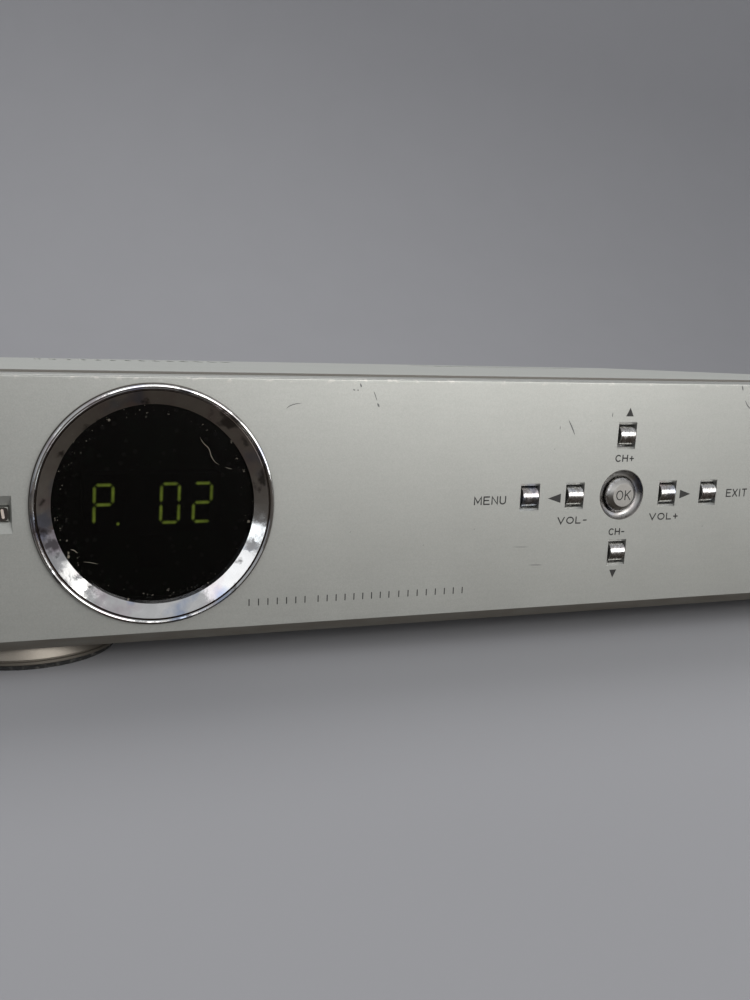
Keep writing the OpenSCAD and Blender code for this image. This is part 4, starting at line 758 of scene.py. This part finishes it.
def lathe(name, profile, x, y, z, turns=72):
    """A closed loop of (radius, depth) points in millimetres, turned round a line along Y."""
    form = bmesh.new()
    rings = []
    for t in range(turns):
        a = math.tau * t / turns
        rings.append([form.verts.new((x + r * MM * math.cos(a), y + depth * MM,
                                      z + r * MM * math.sin(a))) for r, depth in profile])
    for here, after in zip(rings, rings[1:] + rings[:1]):
        for i in range(len(profile)):
            form.faces.new((here[i - 1], here[i], after[i], after[i - 1])).smooth = True
    bmesh.ops.recalc_face_normals(form, faces=form.faces)
    mesh = bpy.data.meshes.new(name)
    form.to_mesh(mesh)
    form.free()
    return mesh


# Painted shade and highlight on the standby key: the dark rounded patch stands for the shaded gap
# round its button, the light bar for a highlight on it.
STANDBY_HALF = (1.5, 1.55)  # half the mark's width and height, in millimetres
STANDBY_CORNER = 0.85
STANDBY_GLINT_ENDS = [(0.25, 0.85), (0.45, -0.75)]  # the bar's ends, from the mark's middle
STANDBY_GLINT_WIDTH = 0.62
STANDBY_PROUD = 0.02


def standby_painted_shading():
    """Painted shading on the front of the standby key: a dark rounded patch of painted shade for
    the gap round its small button, and a light bar of painted highlight on the button.
    """
    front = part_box("key_standby")[0].y
    place = middle("key_standby")
    across, up = place.x / MM, place.z / MM
    outline = []
    for x, z, turn in ((1, 1, 0), (-1, 1, 90), (-1, -1, 180), (1, -1, 270)):
        centre = (across + x * (STANDBY_HALF[0] - STANDBY_CORNER),
                  up + z * (STANDBY_HALF[1] - STANDBY_CORNER))
        outline += arc(centre, (STANDBY_CORNER, STANDBY_CORNER), turn, turn + 90, 6)
    bar = stroke([(across + x, up + z) for x, z in STANDBY_GLINT_ENDS], STANDBY_GLINT_WIDTH)
    decal("standby_painted_shading", metres([outline]), front, STANDBY_PROUD * MM, STANDBY_SHADE,
          "standby_key")
    decal("standby_painted_highlight", metres([bar]), front, 2 * STANDBY_PROUD * MM, STANDBY_GLINT,
          "standby_key")


# ---- display ----

# Lit segments of each place, named as on any seven-segment display; "p" is the point
SHOWN = ["abefgp", "", "abcdef", "abdeg"]
DIGIT_PITCH = 7.7  # this and the next four in millimetres
DIGIT_SIZE = (5.2, 10.2)
SEGMENT_WIDTH = 1.0
SEGMENT_GAP = 0.15
POINT_GAP = 0.8
DIGIT_GLOW = 4.4  # strength behind the dark window
SLANT = math.tan(math.radians(2.5))


def segments(centre):
    """One digit's segments by name, in millimetres: each has its outline and its spine."""
    half_w = (DIGIT_SIZE[0] - SEGMENT_WIDTH) / 2
    half_h = (DIGIT_SIZE[1] - SEGMENT_WIDTH) / 2
    thick = SEGMENT_WIDTH / 2

    def place(points):
        return [(centre[0] + x + z * SLANT, centre[1] + z) for x, z in points]

    def bar(x, z, reach, upright):
        flat = [(-reach, 0), (thick - reach, thick), (reach - thick, thick), (reach, 0),
                (reach - thick, -thick), (thick - reach, -thick)]
        spine = [(2 * thick - reach, 0), (reach - 2 * thick, 0)]
        return tuple(place([(x + b, z + a) if upright else (x + a, z + b) for a, b in line])
                     for line in (flat, spine))

    across = half_w - SEGMENT_GAP / 2
    along = half_h / 2 - SEGMENT_GAP / 2
    point = (DIGIT_SIZE[0] / 2 + POINT_GAP, -half_h)
    return {
        "a": bar(0, half_h, across, False),
        "b": bar(half_w, half_h / 2, along, True),
        "c": bar(half_w, -half_h / 2, along, True),
        "d": bar(0, -half_h, across, False),
        "e": bar(-half_w, -half_h / 2, along, True),
        "f": bar(-half_w, half_h / 2, along, True),
        "g": bar(0, 0, across, False),
        "p": (place(arc(point, (thick, thick), 0, 345, 15)), place([point])),
    }


def add_segment(form, glow, outline, spine, front, back):
    """A flat light bar from y = back to y = front, its glow 1 on the spine and 0 at the edge."""
    middle_line = [form.verts.new((x * MM, front, z * MM)) for x, z in spine]
    near = [form.verts.new((x * MM, front, z * MM)) for x, z in outline]
    far = [form.verts.new((x * MM, back, z * MM)) for x, z in outline]
    for vert in middle_line:
        vert[glow] = 1.0
    form.faces.new(far[::-1])
    for i, vert in enumerate(near):
        j = (i + 1) % len(near)
        form.faces.new((vert, far[i], far[j], near[j]))
        ends = [min(middle_line, key=lambda end: (end.co - v.co).length) for v in (vert, near[j])]
        form.faces.new((vert, near[j], *dict.fromkeys((ends[1], ends[0]))))


def digits():
    """The display's segments: the lit ones show a letter, a point and two numbers."""
    low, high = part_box("digit_segments")
    materials = {"lit": light("segment_lit", srgb(150, 166, 66), DIGIT_GLOW),
                 "unlit": FINISHES["segment_light"]}
    for state, material in materials.items():
        form = bmesh.new()
        glow = form.verts.layers.float.new(GLOW)
        for i, shown in enumerate(SHOWN):
            centre = (WINDOW.x / MM + (i - 1.5) * DIGIT_PITCH, WINDOW.z / MM)
            for name, (outline, spine) in segments(centre).items():
                if (name in shown) == (state == "lit"):
                    add_segment(form, glow, outline, spine, low.y, high.y)
        bmesh.ops.recalc_face_normals(form, faces=form.faces)
        mesh = bpy.data.meshes.new(state + "_segments")
        form.to_mesh(mesh)
        form.free()
        piece = new_piece(state + "_segments", mesh, material, "case")
        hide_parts("digit_segments")


# ---- stage ----

CAMERA_PLACE = Vector((WINDOW.x - 26.08 * MM, -324.65 * MM, 75.15 * MM))
CAMERA_TURN = (12.0, -17.01, 1.275)  # down, to the right and roll, in degrees
CAMERA_FOCUS = 0.9115  # focal length over the picture's height
CAMERA_SHIFT = (0.063, 0.045)


def camera():
    """The photograph's camera: its place, turn, focal length and shift."""
    down, side, roll = (math.radians(a) for a in CAMERA_TURN)
    turn = Matrix.Rotation(roll, 3, "Z") @ Matrix.Rotation(down, 3, "X")
    turn = turn @ Matrix.Rotation(side, 3, "Y")
    axes = turn @ Matrix(((1, 0, 0), (0, 0, -1), (0, 1, 0)))
    world = Matrix((axes[0], -axes[1], -axes[2])).transposed().to_4x4()
    world.translation = CAMERA_PLACE
    data = bpy.data.cameras.new("camera")
    data.sensor_width = 36
    data.lens = 36 * CAMERA_FOCUS
    data.shift_x, data.shift_y = CAMERA_SHIFT
    data.clip_start = 0.01
    piece = bpy.data.objects.new("camera", data)
    piece.matrix_world = world
    bpy.context.scene.collection.objects.link(piece)
    bpy.context.scene.camera = piece


def lamp(name, place, size, glow, colour):
    """A soft box that looks glow bright, where 1 is white, and that no camera sees."""
    data = bpy.data.lights.new(name, "AREA")
    data.shape = "RECTANGLE"
    data.size, data.size_y = size
    data.energy = glow * math.pi * size[0] * size[1]
    data.color = colour
    piece = bpy.data.objects.new(name, data)
    piece.location = place
    piece.rotation_euler = (LAMP_TARGET - Vector(place)).to_track_quat("-Z", "Y").to_euler()
    piece.visible_camera = False
    bpy.context.scene.collection.objects.link(piece)


FLOOR_FRONT = -2.5  # the floor's front edge and half its width, in metres
FLOOR_HALF = 4.0
SWEEP_START = 1.2
SWEEP_RADIUS = 0.8
BACKDROP_TOP = 3.0
PALE = srgb(168, 168, 171)
MIRRORED = srgb(76, 69, 62)


def floor():
    """A pale floor that sweeps up into a backdrop. Shiny faces mirror its front part dark brown."""
    profile = [(FLOOR_FRONT, 0.0)] + [
        (SWEEP_START + SWEEP_RADIUS * math.sin(a), SWEEP_RADIUS * (1 - math.cos(a)))
        for a in (math.radians(d) for d in range(0, 91, 6))
    ] + [(SWEEP_START + SWEEP_RADIUS, BACKDROP_TOP)]
    form = bmesh.new()
    rows = [[form.verts.new((x, y, z)) for y, z in profile]
            for x in (-FLOOR_HALF, FLOOR_HALF)]
    for i in range(len(profile) - 1):
        form.faces.new((rows[0][i], rows[1][i], rows[1][i + 1], rows[0][i + 1])).smooth = True
    mesh = bpy.data.meshes.new("floor")
    form.to_mesh(mesh)
    form.free()
    finish = Finish("floor", PALE, 0.75)
    finish.set("Specular IOR Level", 0.1)
    tone = finish.shade(PALE, finish.noise(0.01, 2.0), 0.02)
    ray = finish.nodes.new("ShaderNodeLightPath")
    front = finish.spread(finish.y, COVER_FRONT / MM + 60, COVER_FRONT / MM)
    mirrored = finish.math("MULTIPLY", ray.outputs["Is Glossy Ray"], front)
    finish.set("Base Color", finish.mix(mirrored, tone, MIRRORED))
    mesh.materials.append(finish.material)
    piece = bpy.data.objects.new("floor", mesh)
    bpy.context.scene.collection.objects.link(piece)


SKY_DARK = srgb(104, 105, 112)
SKY_LIGHT = srgb(196, 197, 199)
SKY_TOWARDS = (0.0, -0.6, 0.8)  # where the world is brightest


def world():
    """Grey all round: brightest above the front, darkest low at the back."""
    scene_world = bpy.data.worlds.new("studio")
    bpy.context.scene.world = scene_world
    scene_world.use_nodes = True
    nodes = scene_world.node_tree.nodes
    links = scene_world.node_tree.links
    place = nodes.new("ShaderNodeTexCoord")
    rise = nodes.new("ShaderNodeVectorMath")
    rise.operation = "DOT_PRODUCT"
    links.new(place.outputs["Generated"], rise.inputs[0])
    rise.inputs[1].default_value = SKY_TOWARDS
    ramp = nodes.new("ShaderNodeMapRange")
    links.new(rise.outputs["Value"], ramp.inputs["Value"])
    blend = nodes.new("ShaderNodeMix")
    blend.data_type = "RGBA"
    links.new(ramp.outputs[0], blend.inputs["Factor"])
    blend.inputs[6].default_value = (*SKY_DARK, 1)
    blend.inputs[7].default_value = (*SKY_LIGHT, 1)
    links.new(blend.outputs[2], nodes["Background"].inputs["Color"])


# Soft boxes: name, place, size, glow, colour; they all point at the receiver
LAMP_TARGET = Vector((0, 0, 0.03))
LAMPS = [
    ("key_light", (0.82, -1.66, 0.48), (1.15, 0.9), 3.5, (1.0, 0.99, 0.97)),
    ("front_light", (0.16, -1.85, 0.72), (1.0, 0.55), 2.5, (1.0, 0.99, 0.98)),
    ("right_panel", (1.5, -1.05, 0.82), (0.6, 0.6), 1.2, (1.0, 0.98, 0.94)),
    ("left_window", (-1.15, -1.0, 0.14), (0.34, 0.2), 1.6, (0.92, 0.97, 1.0)),
    ("left_front", (-0.75, -1.05, 0.6), (0.5, 0.6), 0.9, (0.97, 0.98, 1.0)),
    ("rear_light", (0.2, 0.9, 1.6), (1.6, 0.9), 2.6, (1, 1, 1)),
]


def studio():
    """Floor, world, lamps and plain colour handling."""
    floor()
    world()
    for settings in LAMPS:
        lamp(*settings)
    bpy.context.scene.view_settings.view_transform = "Standard"


dress_nodes()
key_words()
arrows()
tick_rows()
face_scuffs()
lens_scratches()
ok_dish()
standby_painted_shading()
digits()
studio()
camera()
